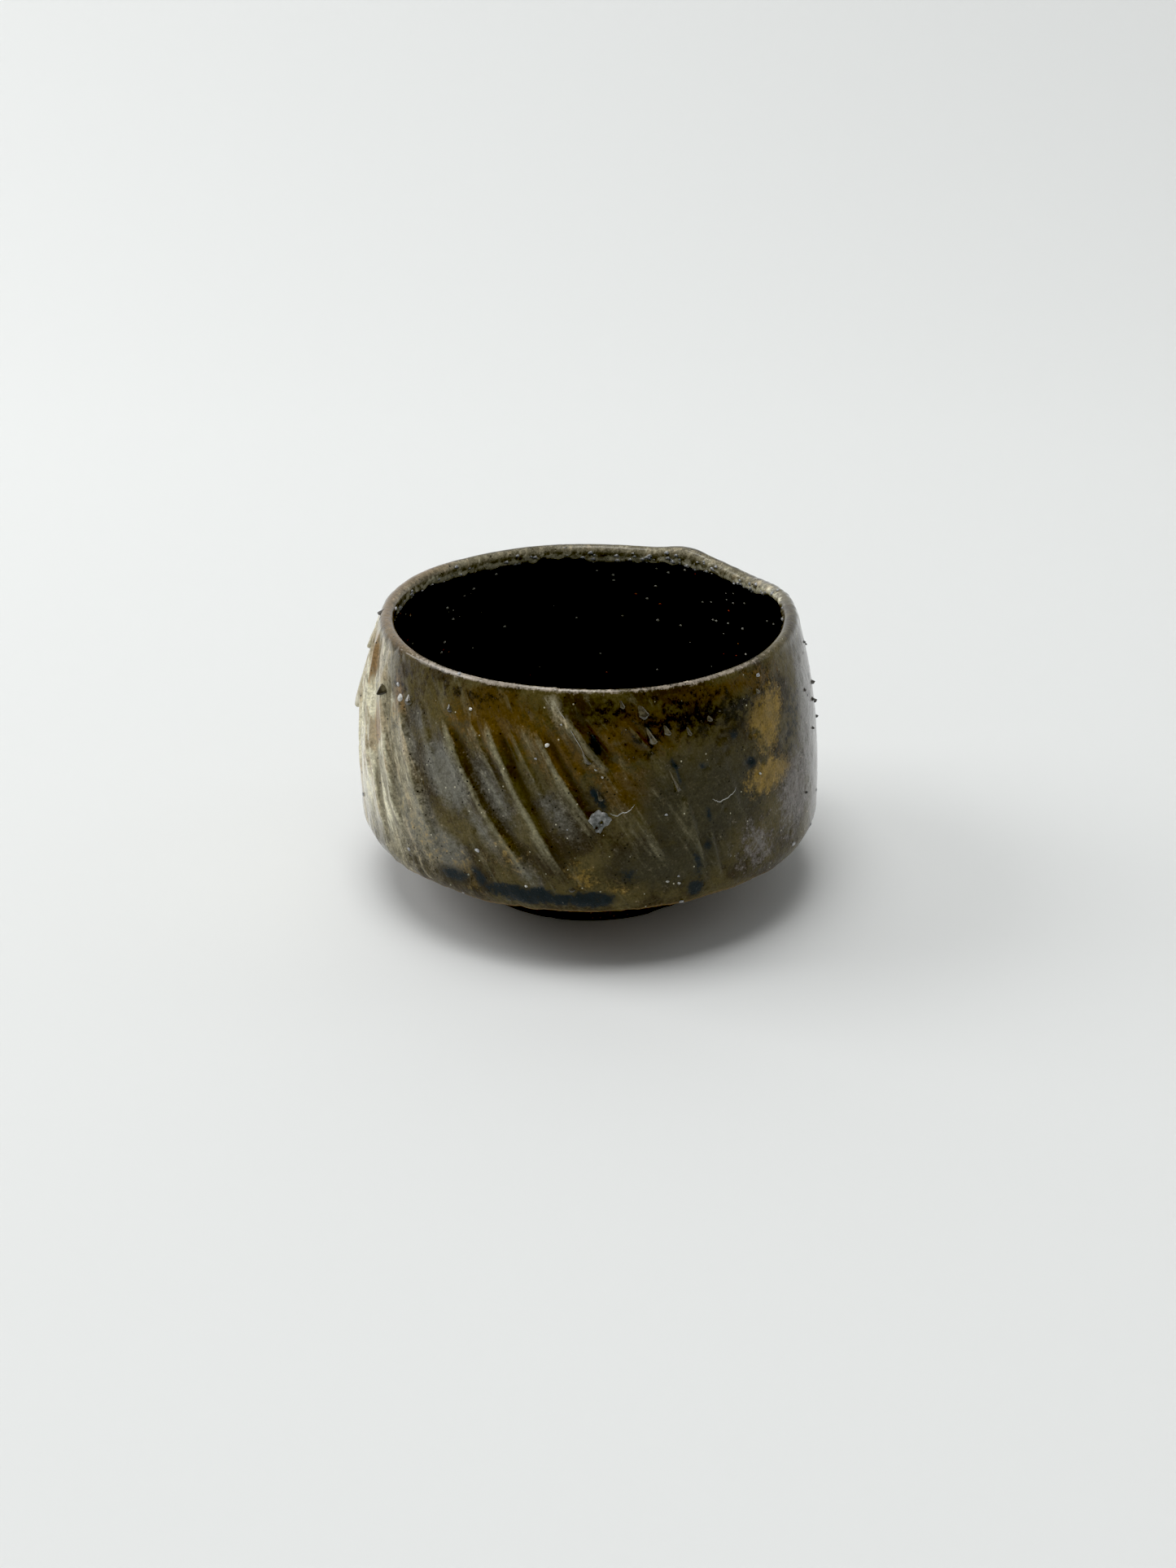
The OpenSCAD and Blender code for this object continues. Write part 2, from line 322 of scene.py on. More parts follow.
@dataclass
class Skin:
    """Vertices and faces of one mesh, before Blender has it.

    Args:
        verts: Rows of x, y, z in millimetres.
        faces: Corner numbers of each face.
        fields: Named values on the vertices, which the finishes read.
    """

    verts: Array
    faces: list[tuple[int, ...]]
    fields: dict[str, Array] = field(default_factory=dict)

    @classmethod
    def turned(cls, grid: Array, closed: bool) -> "Skin":
        """Joins a grid of rows and columns into a turned skin.

        Args:
            grid: Places, by row, column and coordinate. A row of one place repeated is a pole.
            closed: Whether the last row joins the first. If not, both ends are poles.

        Returns:
            The skin, without fields.
        """
        rows, cols = grid.shape[:2]
        index = np.arange(rows * cols).reshape(rows, cols)
        upper, lower = (index, np.roll(index, -1, 0)) if closed else (index[:-1], index[1:])
        quads = np.stack([upper, np.roll(upper, -1, 1), np.roll(lower, -1, 1), lower], -1)
        return cls(grid.reshape(-1, 3), [tuple(q) for q in quads.reshape(-1, 4).tolist()])

    @classmethod
    def joined(cls, skins: Sequence["Skin"]) -> "Skin":
        """Puts several skins into one, without the fields."""
        faces, start = [], 0
        for skin in skins:
            faces += [tuple(i + start for i in f) for f in skin.faces]
            start += len(skin.verts)
        return cls(np.vstack([s.verts for s in skins]), faces)

    def carry(self, fields: dict[str, Array]) -> None:
        """Gives the first vertices the named values, and 0 to all that follow."""
        for key, values in fields.items():
            self.fields[key] = np.zeros(len(self.verts))
            self.fields[key][:len(values)] = values

    def mesh(self, name: str) -> bpy.types.Mesh:
        """Makes the Blender mesh in metres, with doubles merged and faces pointing outwards.

        Args:
            name: Name of the mesh.

        Returns:
            The mesh, carrying the skin's fields as attributes.
        """
        made = bpy.data.meshes.new(name)
        made.from_pydata((self.verts * MM).tolist(), [], self.faces)
        for key, values in self.fields.items():
            made.attributes.new(key, "FLOAT", "POINT").data.foreach_set("value", values.astype(np.float32))
        work = bmesh.new()
        work.from_mesh(made)
        bmesh.ops.remove_doubles(work, verts=work.verts, dist=MERGE)
        bmesh.ops.recalc_face_normals(work, faces=work.faces)
        for face in work.faces:
            face.smooth = True
        work.to_mesh(made)
        work.free()
        return made


def thrown(form: BowlForm, a: Array, r: Array, z: Array, closed: bool = False) -> Skin:
    """Skin of a grid of azimuths, radii and heights, moved as the potter's hand left it."""
    return Skin.turned(form.hand(place(a, r, z)).reshape(*a.shape, 3), closed)


def shell(form: BowlForm, line: Outline, front: Array, height: Array, back: Array, depth: float) -> Skin:
    """Closed skin along an outline, with a shown front and a hidden back.

    Args:
        form: The bowl's form.
        line: The outline.
        front: Arc lengths of the front's grid.
        height: How far the front stands off the outline.
        back: Arc lengths of the back's grid, which runs the other way.
        depth: How far the back lies under the outline.

    Returns:
        The skin, without fields. The front's vertices come first.
    """
    sides = []
    for s, off in ((front, height), (back, np.full(back.shape, -depth))):
        r, z, normal_r, normal_z = line.at(s)
        sides.append((r + normal_r * off, z + normal_z * off))
    r, z = (np.vstack(values) for values in zip(*sides))
    return thrown(form, np.broadcast_to(columns(r.shape[1]), r.shape), r, z, closed=True)


# ---------------------------------------------------------------- node trees

Term = Union["Value", float, Sequence[float]]


class Value:
    """A socket that ordinary operators work on, adding the Math nodes they need."""

    def __init__(self, graph: "Graph", socket: bpy.types.NodeSocket) -> None:
        """Wraps an output socket of the graph."""
        self.graph, self.socket = graph, socket

    def _math(self, operation: str, *terms: Term) -> "Value":
        """Adds one Math node."""
        return self.graph.node("ShaderNodeMath", {"operation": operation}, dict(enumerate(terms)))

    def __add__(self, other: Term) -> "Value":
        """Adds."""
        return self._math("ADD", self, other)

    def __radd__(self, other: Term) -> "Value":
        """Adds to a number."""
        return self._math("ADD", other, self)

    def __sub__(self, other: Term) -> "Value":
        """Subtracts."""
        return self._math("SUBTRACT", self, other)

    def __rsub__(self, other: Term) -> "Value":
        """Subtracts from a number."""
        return self._math("SUBTRACT", other, self)

    def __mul__(self, other: Term) -> "Value":
        """Multiplies."""
        return self._math("MULTIPLY", self, other)

    def __rmul__(self, other: Term) -> "Value":
        """Multiplies a number."""
        return self._math("MULTIPLY", other, self)

    def step(self, low: float, high: float) -> "Value":
        """Smooth step from 0 at low to 1 at high."""
        ends = {"Value": self, "From Min": low, "From Max": high}
        return self.graph.node("ShaderNodeMapRange", {"interpolation_type": "SMOOTHSTEP"}, ends)


class Graph:
    """A node tree under construction."""

    def __init__(self, tree: bpy.types.NodeTree) -> None:
        """Wraps the tree."""
        self.tree = tree

    def node(self, kind: str, settings: dict[str, Any] | None = None,
             inputs: dict[Any, Term] | None = None, output: Any = 0) -> Value:
        """Adds any node.

        Args:
            kind: The node's type.
            settings: Its properties. "ramp" holds a colour ramp's stops of place and colour.
            inputs: Values or links, by the socket's number, name or identifier.
            output: Number or name of the output that is handed back.

        Returns:
            The output, ready for more maths.
        """
        made = self.tree.nodes.new(kind)
        for key, value in (settings or {}).items():
            if key == "ramp":
                self._fill_ramp(made.color_ramp, value)
            else:
                setattr(made, key, value)
        for key, value in (inputs or {}).items():
            socket = self._find(made.inputs, key)
            if isinstance(value, Value):
                self.tree.links.new(value.socket, socket)
            else:
                socket.default_value = value
        return Value(self, self._find(made.outputs, output))

    @staticmethod
    def _find(sockets: Any, key: Any) -> bpy.types.NodeSocket:
        """Finds a socket by number, identifier or name."""
        if isinstance(key, int):
            return sockets[key]
        return next((s for s in sockets if s.identifier == key), None) or sockets[key]

    @staticmethod
    def _fill_ramp(ramp: bpy.types.ColorRamp, stops: Sequence[tuple[float, Colour]]) -> None:
        """Sets a colour ramp's stops."""
        while len(ramp.elements) < len(stops):
            ramp.elements.new(1.0)
        for element, (spot, colour) in zip(ramp.elements, stops):
            element.position, element.color = spot, (*colour, 1.0)

    def field(self, name: str) -> Value:
        """A named value that the mesh carries."""
        return self.node("ShaderNodeAttribute", {"attribute_name": name}, output="Fac")

    def grain(self, where: Value, scale: float, detail: float = 2.0, roughness: float = 0.5) -> Value:
        """Noise from 0 to 1, with lumps of about 1/scale metres."""
        inputs = {"Vector": where, "Scale": scale, "Detail": detail, "Roughness": roughness}
        return self.node("ShaderNodeTexNoise", {}, inputs, "Fac")

    def cells(self, where: Value, scale: float) -> Value:
        """Distance to the nearest of many scattered points."""
        return self.node("ShaderNodeTexVoronoi", {}, {"Vector": where, "Scale": scale}, "Distance")

    def mix(self, share: Term, below: Union[Value, Colour], above: Union[Value, Colour],
            blend: str = "MIX") -> Value:
        """Mixes two colours."""
        below, above = (c if isinstance(c, Value) else (*c, 1.0) for c in (below, above))
        inputs = {"Factor_Float": share, "A_Color": below, "B_Color": above}
        settings = {"data_type": "RGBA", "blend_type": blend}
        return self.node("ShaderNodeMix", settings, inputs, "Result_Color")

    def moved(self, where: Value, scale: Sequence[float]) -> Value:
        """Stretches a place by a factor along each axis."""
        return self.node("ShaderNodeVectorMath", {"operation": "MULTIPLY"}, {0: where, 1: scale}, "Vector")

    def combed(self, where: Value, lean: float, along: float) -> Value:
        """Turns a place with its height, so that noise in it runs along leaning strokes.

        Args:
            where: Object coordinates.
            lean: Degrees of azimuth for each millimetre of fall.
            along: How far the noise is stretched along the strokes.

        Returns:
            The turned place.
        """
        z = self.node("ShaderNodeSeparateXYZ", {}, {0: where}, "Z")
        angle = z * (math.radians(lean) / MM)
        turned = self.node("ShaderNodeVectorRotate", {"rotation_type": "Z_AXIS"},
                           {"Vector": where, "Angle": angle}, "Vector")
        return self.moved(turned, (1.0, 1.0, 1.0 / along))


class Finish:
    """A surface finish, with its main colour as its body. Subclasses say its look."""

    name: str
    body: Colour

    def material(self) -> bpy.types.Material:
        """Builds the material once, and gives it back after that.

        Returns:
            The material, named apart from those that came with the frame.
        """
        label = "finish_" + self.name
        found = bpy.data.materials.get(label)
        if found:
            return found
        made = bpy.data.materials.new(label)
        made.use_nodes = True
        graph = Graph(made.node_tree)
        made.node_tree.nodes.clear()
        where = graph.node("ShaderNodeTexCoord", {}, {}, "Object")
        shader = graph.node("ShaderNodeBsdfPrincipled", {}, self.surface(graph, where))
        end = made.node_tree.nodes.new("ShaderNodeOutputMaterial")
        made.node_tree.links.new(shader.socket, end.inputs["Surface"])
        made.diffuse_color = (*self.body, 1.0)
        return made

    def surface(self, graph: Graph, where: Value) -> dict[str, Term]:
        """Values of the shader's sockets."""
        raise NotImplementedError

    @staticmethod
    def relief(graph: Graph, height: Value, depth: float, under: Value | None = None) -> Value:
        """A bump of the given depth in millimetres, over another one if there is one."""
        inputs: dict[Any, Term] = {"Height": height, "Distance": depth * MM, "Strength": 1.0}
        if under is not None:
            inputs["Normal"] = under
        return graph.node("ShaderNodeBump", {}, inputs, "Normal")


@dataclass(frozen=True)
class GlazeGrain:
    """The noises that break up the ash glaze. All run from 0 to 1, but ragged runs about zero."""

    fine_comb: Value
    broad_comb: Value
    mottle: Value
    fleck: Value
    cloud: Value
    ragged: Value
    pits: Value

    @classmethod
    def sown(cls, graph: Graph, where: Value, lean: float) -> "GlazeGrain":
        """Makes the noises.

        Args:
            graph: The material's graph.
            where: Object coordinates.
            lean: Degrees that the brushing turns for each millimetre of fall.

        Returns:
            The noises, ready for the glaze's colours.
        """
        combed = graph.combed(where, lean, 7.0)
        mottle = graph.grain(where, 560.0, 5.0, 0.66)
        fleck = graph.grain(where, 1900.0, 3.0, 0.6)
        cloud = graph.grain(where, 110.0, 3.0)
        return cls(
            fine_comb=graph.grain(combed, 1100.0, 3.0, 0.6),
            broad_comb=graph.grain(combed, 300.0, 3.0),
            mottle=mottle,
            fleck=fleck,
            cloud=cloud,
            ragged=(mottle - 0.5) * 2.2 + (fleck - 0.5) * 1.2 + (cloud - 0.5) * 0.8,
            pits=graph.cells(where, 620.0).step(0.17, 0.09) * cloud.step(0.40, 0.58),
        )


@dataclass(frozen=True)
class AshGlaze(Finish):
    """Runny ash glaze with pale brushing, by the fields that the jacket carries, with painted light and shade
    on the brushed ridges and a painted highlight on the front crown.
    """

    name: str = "ash_glaze"
    body: Colour = (0.092, 0.071, 0.024)
    umber: Colour = (0.030, 0.018, 0.004)
    amber: Colour = (0.092, 0.052, 0.009)
    ash: Colour = (0.235, 0.215, 0.130)
    ochre: Colour = (0.245, 0.160, 0.036)
    slate: Colour = (0.180, 0.178, 0.152)
    violet: Colour = (0.180, 0.162, 0.152)
    cream: Colour = (0.72, 0.68, 0.50)
    sage: Colour = (0.30, 0.27, 0.18)
    tan: Colour = (0.26, 0.165, 0.072)
    # Colour of the painted highlight along the front of the lip's crown.
    rim: Colour = (0.44, 0.38, 0.31)
    pool: Colour = (0.004, 0.009, 0.014)
    dusk: Colour = (0.042, 0.037, 0.022)
    iron: Colour = (0.006, 0.004, 0.002)
    lean: float = LEAN

    def surface(self, graph: Graph, where: Value) -> dict[str, Term]:
        """Values of the shader's sockets."""
        f = graph.field
        grain = GlazeGrain.sown(graph, where, self.lean)
        colour = self.brushed(graph, grain)
        colour = self.patched(graph, grain, colour)
        colour = self.marked(graph, where, grain, colour)
        bare = f("shade").step(0.2, 0.7)
        rough = 0.34 + grain.mottle * 0.24 + bare * 0.3 + f("violet").step(0.0, 0.6) * -0.08
        bumps = self.relief(graph, graph.grain(where, 260.0, 3.0, 0.55), 0.40)
        bumps = self.relief(graph, grain.fine_comb, 0.14, bumps)
        bumps = self.relief(graph, grain.fleck - grain.pits * 1.5, 0.12, bumps)
        gloss = f("gloss").step(0.0, 1.0) * 0.7 + f("pool").step(0.0, 0.4) * 0.06 + 0.22
        return {"Base Color": colour, "Roughness": rough, "Normal": bumps, "Specular IOR Level": 0.2,
                "Coat Weight": gloss * (1.0 - bare), "Coat Roughness": 0.07}

    def brushed(self, graph: Graph, grain: GlazeGrain) -> Value:
        """The ground of the glaze and the pale brushing over it, with painted light on the ridges and painted
        shade in the furrows beside them.

        Args:
            graph: The material's graph.
            grain: The noises that break it up.

        Returns:
            The colour.
        """
        f, mix, ragged = graph.field, graph.mix, grain.ragged
        ground = mix((grain.cloud + (grain.mottle - 0.5) * 0.8).step(0.38, 0.62), self.body, self.umber)
        ground = mix((f("amber") + ragged * 0.7).step(0.0, 0.6), ground, self.amber)
        ground = mix((f("dusk") + ragged * 0.6).step(-0.1, 0.7) * 0.8, ground, self.dusk)
        pale = f("streak") * 0.70 + (grain.broad_comb - 0.5) * 1.6 + (grain.fine_comb - 0.5) * 1.1
        pale = (pale + ragged * 0.22).step(0.0, 1.0)
        # Painted shade: the furrow to the right of each ridge is darkened with umber.
        furrow_shade = (f("streak") * -1.0 + ragged * 0.2).step(0.25, 0.9)
        colour = mix(pale * f("brushed"), ground, self.ash)
        return mix(furrow_shade * f("brushed") * 0.8, colour, self.umber)

    def patched(self, graph: Graph, grain: GlazeGrain, colour: Value) -> Value:
        """Lays the patches of other colours over the brushing; the cream on the left flank is partly a
        painted highlight of the left window's glare.

        Args:
            graph: The material's graph.
            grain: The noises that break it up.
            colour: The colour so far.

        Returns:
            The colour with the patches.
        """
        f, mix, ragged = graph.field, graph.mix, grain.ragged
        broad = grain.broad_comb - 0.5
        colour = mix((f("slate") + ragged * 0.4).step(0.0, 0.9) * 0.75, colour, self.slate)
        colour = mix((f("violet") + ragged * 0.8 + broad).step(0.0, 0.7) * 0.85, colour, self.violet)
        colour = mix((f("cream") + ragged * 0.4).step(-0.35, 0.35) * 0.8, colour, self.sage)
        # Cream: pale glaze brushing, which on the left flank also stands in for the window's glare as a
        # painted highlight.
        cream = f("cream") * 1.15 + f("streak") * 0.35 + broad * 3.2 + (grain.fine_comb - 0.5) * 1.8
        warm = mix((grain.cloud + broad * 1.5).step(0.48, 0.66) * 0.6, self.cream, self.tan)
        colour = mix(cream.step(0.1, 0.9), colour, warm)
        colour = mix((f("ochre") * 0.9 + ragged * 0.7).step(0.05, 0.7) * 0.9, colour, self.ochre)
        colour = mix((f("tan") + ragged * 0.4 + broad).step(0.1, 0.6), colour, self.tan)
        return mix((f("pool") + ragged * 1.1).step(-0.1, 0.8), colour, self.pool)

    def marked(self, graph: Graph, where: Value, grain: GlazeGrain, colour: Value) -> Value:
        """Adds the dark speckle, the edges, the crown's line of painted highlight, pits, pale dots and the
        fringe.

        Args:
            graph: The material's graph.
            where: Object coordinates.
            grain: The noises that break it up.
            colour: The colour so far.

        Returns:
            The finished colour.
        """
        f, mix, ragged = graph.field, graph.mix, grain.ragged
        mottle, fleck = grain.mottle - 0.5, grain.fleck - 0.5
        dark = (f("speckle") * 0.7 + mottle * 3.4 + fleck * 1.2 - 0.15).step(-0.1, 0.7)
        colour = mix(dark * f("speckle").step(-0.3, 0.25), colour, self.iron)
        colour = mix(f("edge").step(0.2, 0.9) * 0.6, colour, self.tan)
        colour = mix((f("shade") + ragged * 0.15).step(0.2, 0.7), colour, self.iron)
        # The crown's line: a painted highlight along the front of the lip, broken into painted sparkle by the
        # noise.
        line = (f("line") * 1.3 + fleck * 1.6 + mottle * 1.2).step(0.25, 1.0)
        colour = mix(line * 0.7, colour, self.rim)
        colour = mix(grain.pits, colour, self.iron)
        dots = graph.cells(graph.moved(where, (1.0, 1.0, 0.97)), 330.0).step(0.075, 0.045)
        colour = mix(dots * 0.7, colour, self.cream)
        fringe = (f("fringe") + mottle * 4.0 + (grain.cloud - 0.5) * 2.5).step(0.1, 0.9)
        colour = mix(fringe * 0.75, colour, self.cream)
        stops = [(0.34, (0.50, 0.48, 0.44)), (0.5, (1.0, 1.0, 1.0)), (0.66, (1.60, 1.57, 1.52))]
        tone = graph.node("ShaderNodeValToRGB", {"ramp": stops},
                          {0: grain.mottle * 0.55 + grain.fleck * 0.45}, "Color")
        return mix(1.0, colour, tone, "MULTIPLY")


@dataclass(frozen=True)
class BlackGlaze(Finish):
    """Glossy black iron glaze, breaking to rust where it is thin."""

    name: str = "black_glaze"
    body: Colour = (0.0035, 0.0028, 0.0026)
    rust: Colour = (0.020, 0.0065, 0.0035)

    def surface(self, graph: Graph, where: Value) -> dict[str, Term]:
        """Values of the shader's sockets."""
        mottle = graph.grain(where, 180.0, 4.0, 0.6)
        colour = graph.mix(mottle.step(0.52, 0.72), self.body, self.rust)
        bumps = self.relief(graph, graph.grain(where, 160.0, 2.0), 0.18)
        bumps = self.relief(graph, graph.grain(where, 900.0, 2.0), 0.03, bumps)
        return {"Base Color": colour, "Roughness": 0.12 + mottle * 0.12, "Normal": bumps,
                "Specular IOR Level": 0.35}


@dataclass(frozen=True)
class BareClay(Finish):
    """Bare iron-rich stoneware, sandy, with a flash of rust."""

    name: str = "bare_clay"
    body: Colour = (0.045, 0.028, 0.018)
    light: Colour = (0.135, 0.078, 0.045)
    sand: Colour = (0.30, 0.25, 0.19)
    roughness: float = 0.72

    def surface(self, graph: Graph, where: Value) -> dict[str, Term]:
        """Values of the shader's sockets."""
        cloud = graph.grain(where, 70.0, 4.0, 0.6)
        grit = graph.grain(where, 1400.0, 3.0, 0.7)
        sand = graph.cells(where, 520.0).step(0.16, 0.08)
        colour = graph.mix((cloud * 0.7 + grit * 0.3).step(0.38, 0.62), self.body, self.light)
        colour = graph.mix(sand * 0.6, colour, self.sand)
        bumps = self.relief(graph, grit, 0.12)
        bumps = self.relief(graph, sand, 0.08, bumps)
        return {"Base Color": colour, "Roughness": self.roughness - sand * 0.15, "Normal": bumps,
                "Specular IOR Level": 0.35}


@dataclass(frozen=True)
class Glass(Finish):
    """Melted, near-opaque glass: drops of ash glaze and stones of feldspar.

    Args:
        name: Name of the material.
        body: Main colour.
        vein: Colour of the streaks in it.
        roughness: Lowest roughness.
        depth: Depth of its surface grain.
    """

    name: str
    body: Colour
    vein: Colour
    roughness: float
    depth: float = 0.05

    def surface(self, graph: Graph, where: Value) -> dict[str, Term]:
        """Values of the shader's sockets."""
        swirl = graph.grain(where, 480.0, 4.0, 0.65)
        fine = graph.grain(where, 2200.0, 2.0)
        colour = graph.mix(swirl.step(0.42, 0.62), self.body, self.vein)
        return {"Base Color": colour, "Roughness": self.roughness + swirl * 0.15,
                "Normal": self.relief(graph, swirl * 0.6 + fine * 0.4, self.depth), "Coat Weight": 0.8,
                "Coat Roughness": 0.05}


ASH = AshGlaze()
BLACK = BlackGlaze()
CLAY = BareClay()
FOOT_CLAY = BareClay("foot_clay", (0.035, 0.022, 0.015), (0.105, 0.062, 0.038), roughness=0.66)
OLIVE_DROP = Glass("olive_drop", (0.030, 0.022, 0.010), (0.12, 0.10, 0.055), 0.05)
RUN = Glass("cream_run", (0.42, 0.37, 0.24), (0.62, 0.58, 0.44), 0.15)
PEARL = Glass("pearl_drop", (0.42, 0.42, 0.39), (0.62, 0.61, 0.56), 0.10)
FELDSPAR = Glass("feldspar", (0.30, 0.31, 0.32), (0.50, 0.50, 0.50), 0.22, 0.12)
LILAC = Glass("lilac_stone", (0.085, 0.09, 0.082), (0.30, 0.30, 0.29), 0.30, 0.20)
RUST = Glass("rust_spot", (0.55, 0.12, 0.05), (0.40, 0.30, 0.10), 0.25)
ASH_SPECK = Glass("ash_speck", (0.48, 0.47, 0.42), (0.62, 0.62, 0.56), 0.2)
GRIT = Glass("grit", (0.016, 0.013, 0.011), (0.06, 0.05, 0.042), 0.45, 0.15)


# ---------------------------------------------------------------- making pieces

def put(name: str, data: bpy.types.ID) -> bpy.types.Object:
    """Puts a new object with the given data into the scene."""
    made = bpy.data.objects.new(name, data)
    bpy.context.scene.collection.objects.link(made)
    return made


def fit(name: str, mesh: bpy.types.Mesh, finish: Finish,
        stands_for: Sequence[str] = ()) -> bpy.types.Object:
    """Makes one piece of the bowl from a finished mesh.

    Args:
        name: Name of the piece.
        mesh: Its mesh, in metres in the bowl's frame.
        finish: What it is dressed with.
        stands_for: CAD nodes that it is shown in place of.

    Returns:
        The piece, riding on the bowl's body.
    """
    piece = put(name, mesh)
    if not mesh.materials:
        mesh.materials.append(finish.material())
    if stands_for:
        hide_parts(*stands_for)
    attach(piece, BODY)
    log.info("%s: %d faces, dressed in %s", name, len(mesh.polygons), finish.name)
    return piece


class Grower:
    """A shape that geometry nodes make, with its sizes as named inputs of the tree."""

    label: ClassVar[str]
    sizes: ClassVar[tuple[str, ...]]

    def shape(self, graph: Graph, given: dict[str, Value]) -> Value:
        """The geometry, from the tree's inputs."""
        raise NotImplementedError

    def tree(self) -> bpy.types.GeometryNodeTree:
        """The node tree, from its inputs to Realize Instances and Set Material.

        Returns:
            The tree, built the first time and handed back after that.
        """
        found = bpy.data.node_groups.get(self.label)
        if found:
            return found
        tree = bpy.data.node_groups.new(self.label, "GeometryNodeTree")
        kinds = {"Geometry": "Geometry", **dict.fromkeys(self.sizes, "Float"),
                 "Seed": "Int", "Material": "Material"}
        for name, kind in kinds.items():
            tree.interface.new_socket(name, in_out="INPUT", socket_type="NodeSocket" + kind)
        tree.interface.new_socket("Geometry", in_out="OUTPUT", socket_type="NodeSocketGeometry")
        graph = Graph(tree)
        entry = tree.nodes.new("NodeGroupInput")
        given = {s.name: Value(graph, s) for s in entry.outputs if s.name}
        real = graph.node("GeometryNodeRealizeInstances", {}, {"Geometry": self.shape(graph, given)})
        dressed = graph.node("GeometryNodeSetMaterial", {}, {"Geometry": real, "Material": given["Material"]})
        tree.links.new(dressed.socket, tree.nodes.new("NodeGroupOutput").inputs[0])
        return tree

    def grown(self, mesh: bpy.types.Mesh, values: dict[str, Any]) -> bpy.types.Mesh:
        """Runs the tree on a mesh.

        Args:
            mesh: What the tree works on.
            values: The tree's inputs, by name.

        Returns:
            The result as a plain mesh. The modifier and its holder are gone.
        """
        tree = self.tree()
        holder = put(mesh.name + "_raw", mesh)
        modifier = holder.modifiers.new("grow", "NODES")
        modifier.node_group = tree
        for item in tree.interface.items_tree:
            if item.item_type == "SOCKET" and item.in_out == "INPUT" and item.name in values:
                modifier[item.identifier] = values[item.name]
        bpy.context.view_layer.update()
        plain = bpy.data.meshes.new_from_object(
            holder.evaluated_get(bpy.context.evaluated_depsgraph_get()))
        plain.name = mesh.name
        holder.modifiers.clear()
        bpy.data.objects.remove(holder)
        return plain


@dataclass(frozen=True)
class SpiralMarks(Grower):
    """Geometry nodes that cut the spiral of a tool or a finger into a turned piece.

    Args:
        pitch: Distance between turns, in millimetres.
        depth: Depth of a turn.
        waver: How far the spiral wanders.
        seed: Fixed seed of the wandering.
    """

    pitch: float
    depth: float
    waver: float
    seed: int

    label: ClassVar[str] = "spiral_marks"
    sizes: ClassVar[tuple[str, ...]] = ("Pitch", "Depth", "Waver")

    def shape(self, graph: Graph, given: dict[str, Value]) -> Value:
        """Pushes the surface in along a wandering spiral.

        Args:
            graph: The tree's graph.
            given: The tree's inputs.

        Returns:
            The marked geometry.
        """
        where = graph.node("GeometryNodeInputPosition")
        x, y, z = (graph.node("ShaderNodeSeparateXYZ", {}, {0: where}, axis) for axis in "XYZ")
        radius = graph.node("ShaderNodeVectorMath", {"operation": "LENGTH"},
                            {0: graph.moved(where, (1.0, 1.0, 0.0))}, "Value")
        azimuth = graph.node("ShaderNodeMath", {"operation": "ARCTAN2"}, {0: x, 1: y})
        wander = graph.node("ShaderNodeTexNoise", {"noise_dimensions": "4D"},
                            {"Vector": where, "W": given["Seed"], "Scale": 60.0, "Detail": 1.0}, "Fac")
        run = (radius + z + (wander - 0.5) * given["Waver"]) * (2 * math.pi)
        phase = graph.node("ShaderNodeMath", {"operation": "DIVIDE"}, {0: run, 1: given["Pitch"]}) + azimuth
        ridge = graph.node("ShaderNodeMath", {"operation": "SINE"}, {0: phase})
        normal = graph.node("GeometryNodeInputNormal")
        push = graph.node("ShaderNodeVectorMath", {"operation": "SCALE"},
                          {0: normal, "Scale": (ridge - 1.0) * given["Depth"] * 0.5}, "Vector")
        return graph.node("GeometryNodeSetPosition", {}, {"Geometry": given["Geometry"], "Offset": push})

    def cut(self, mesh: bpy.types.Mesh, finish: Finish) -> bpy.types.Mesh:
        """Cuts the marks into a mesh, and returns the plain result."""
        return self.grown(mesh, {"Pitch": self.pitch * MM, "Depth": self.depth * MM, "Waver": self.waver * MM,
                                 "Seed": self.seed, "Material": finish.material()})


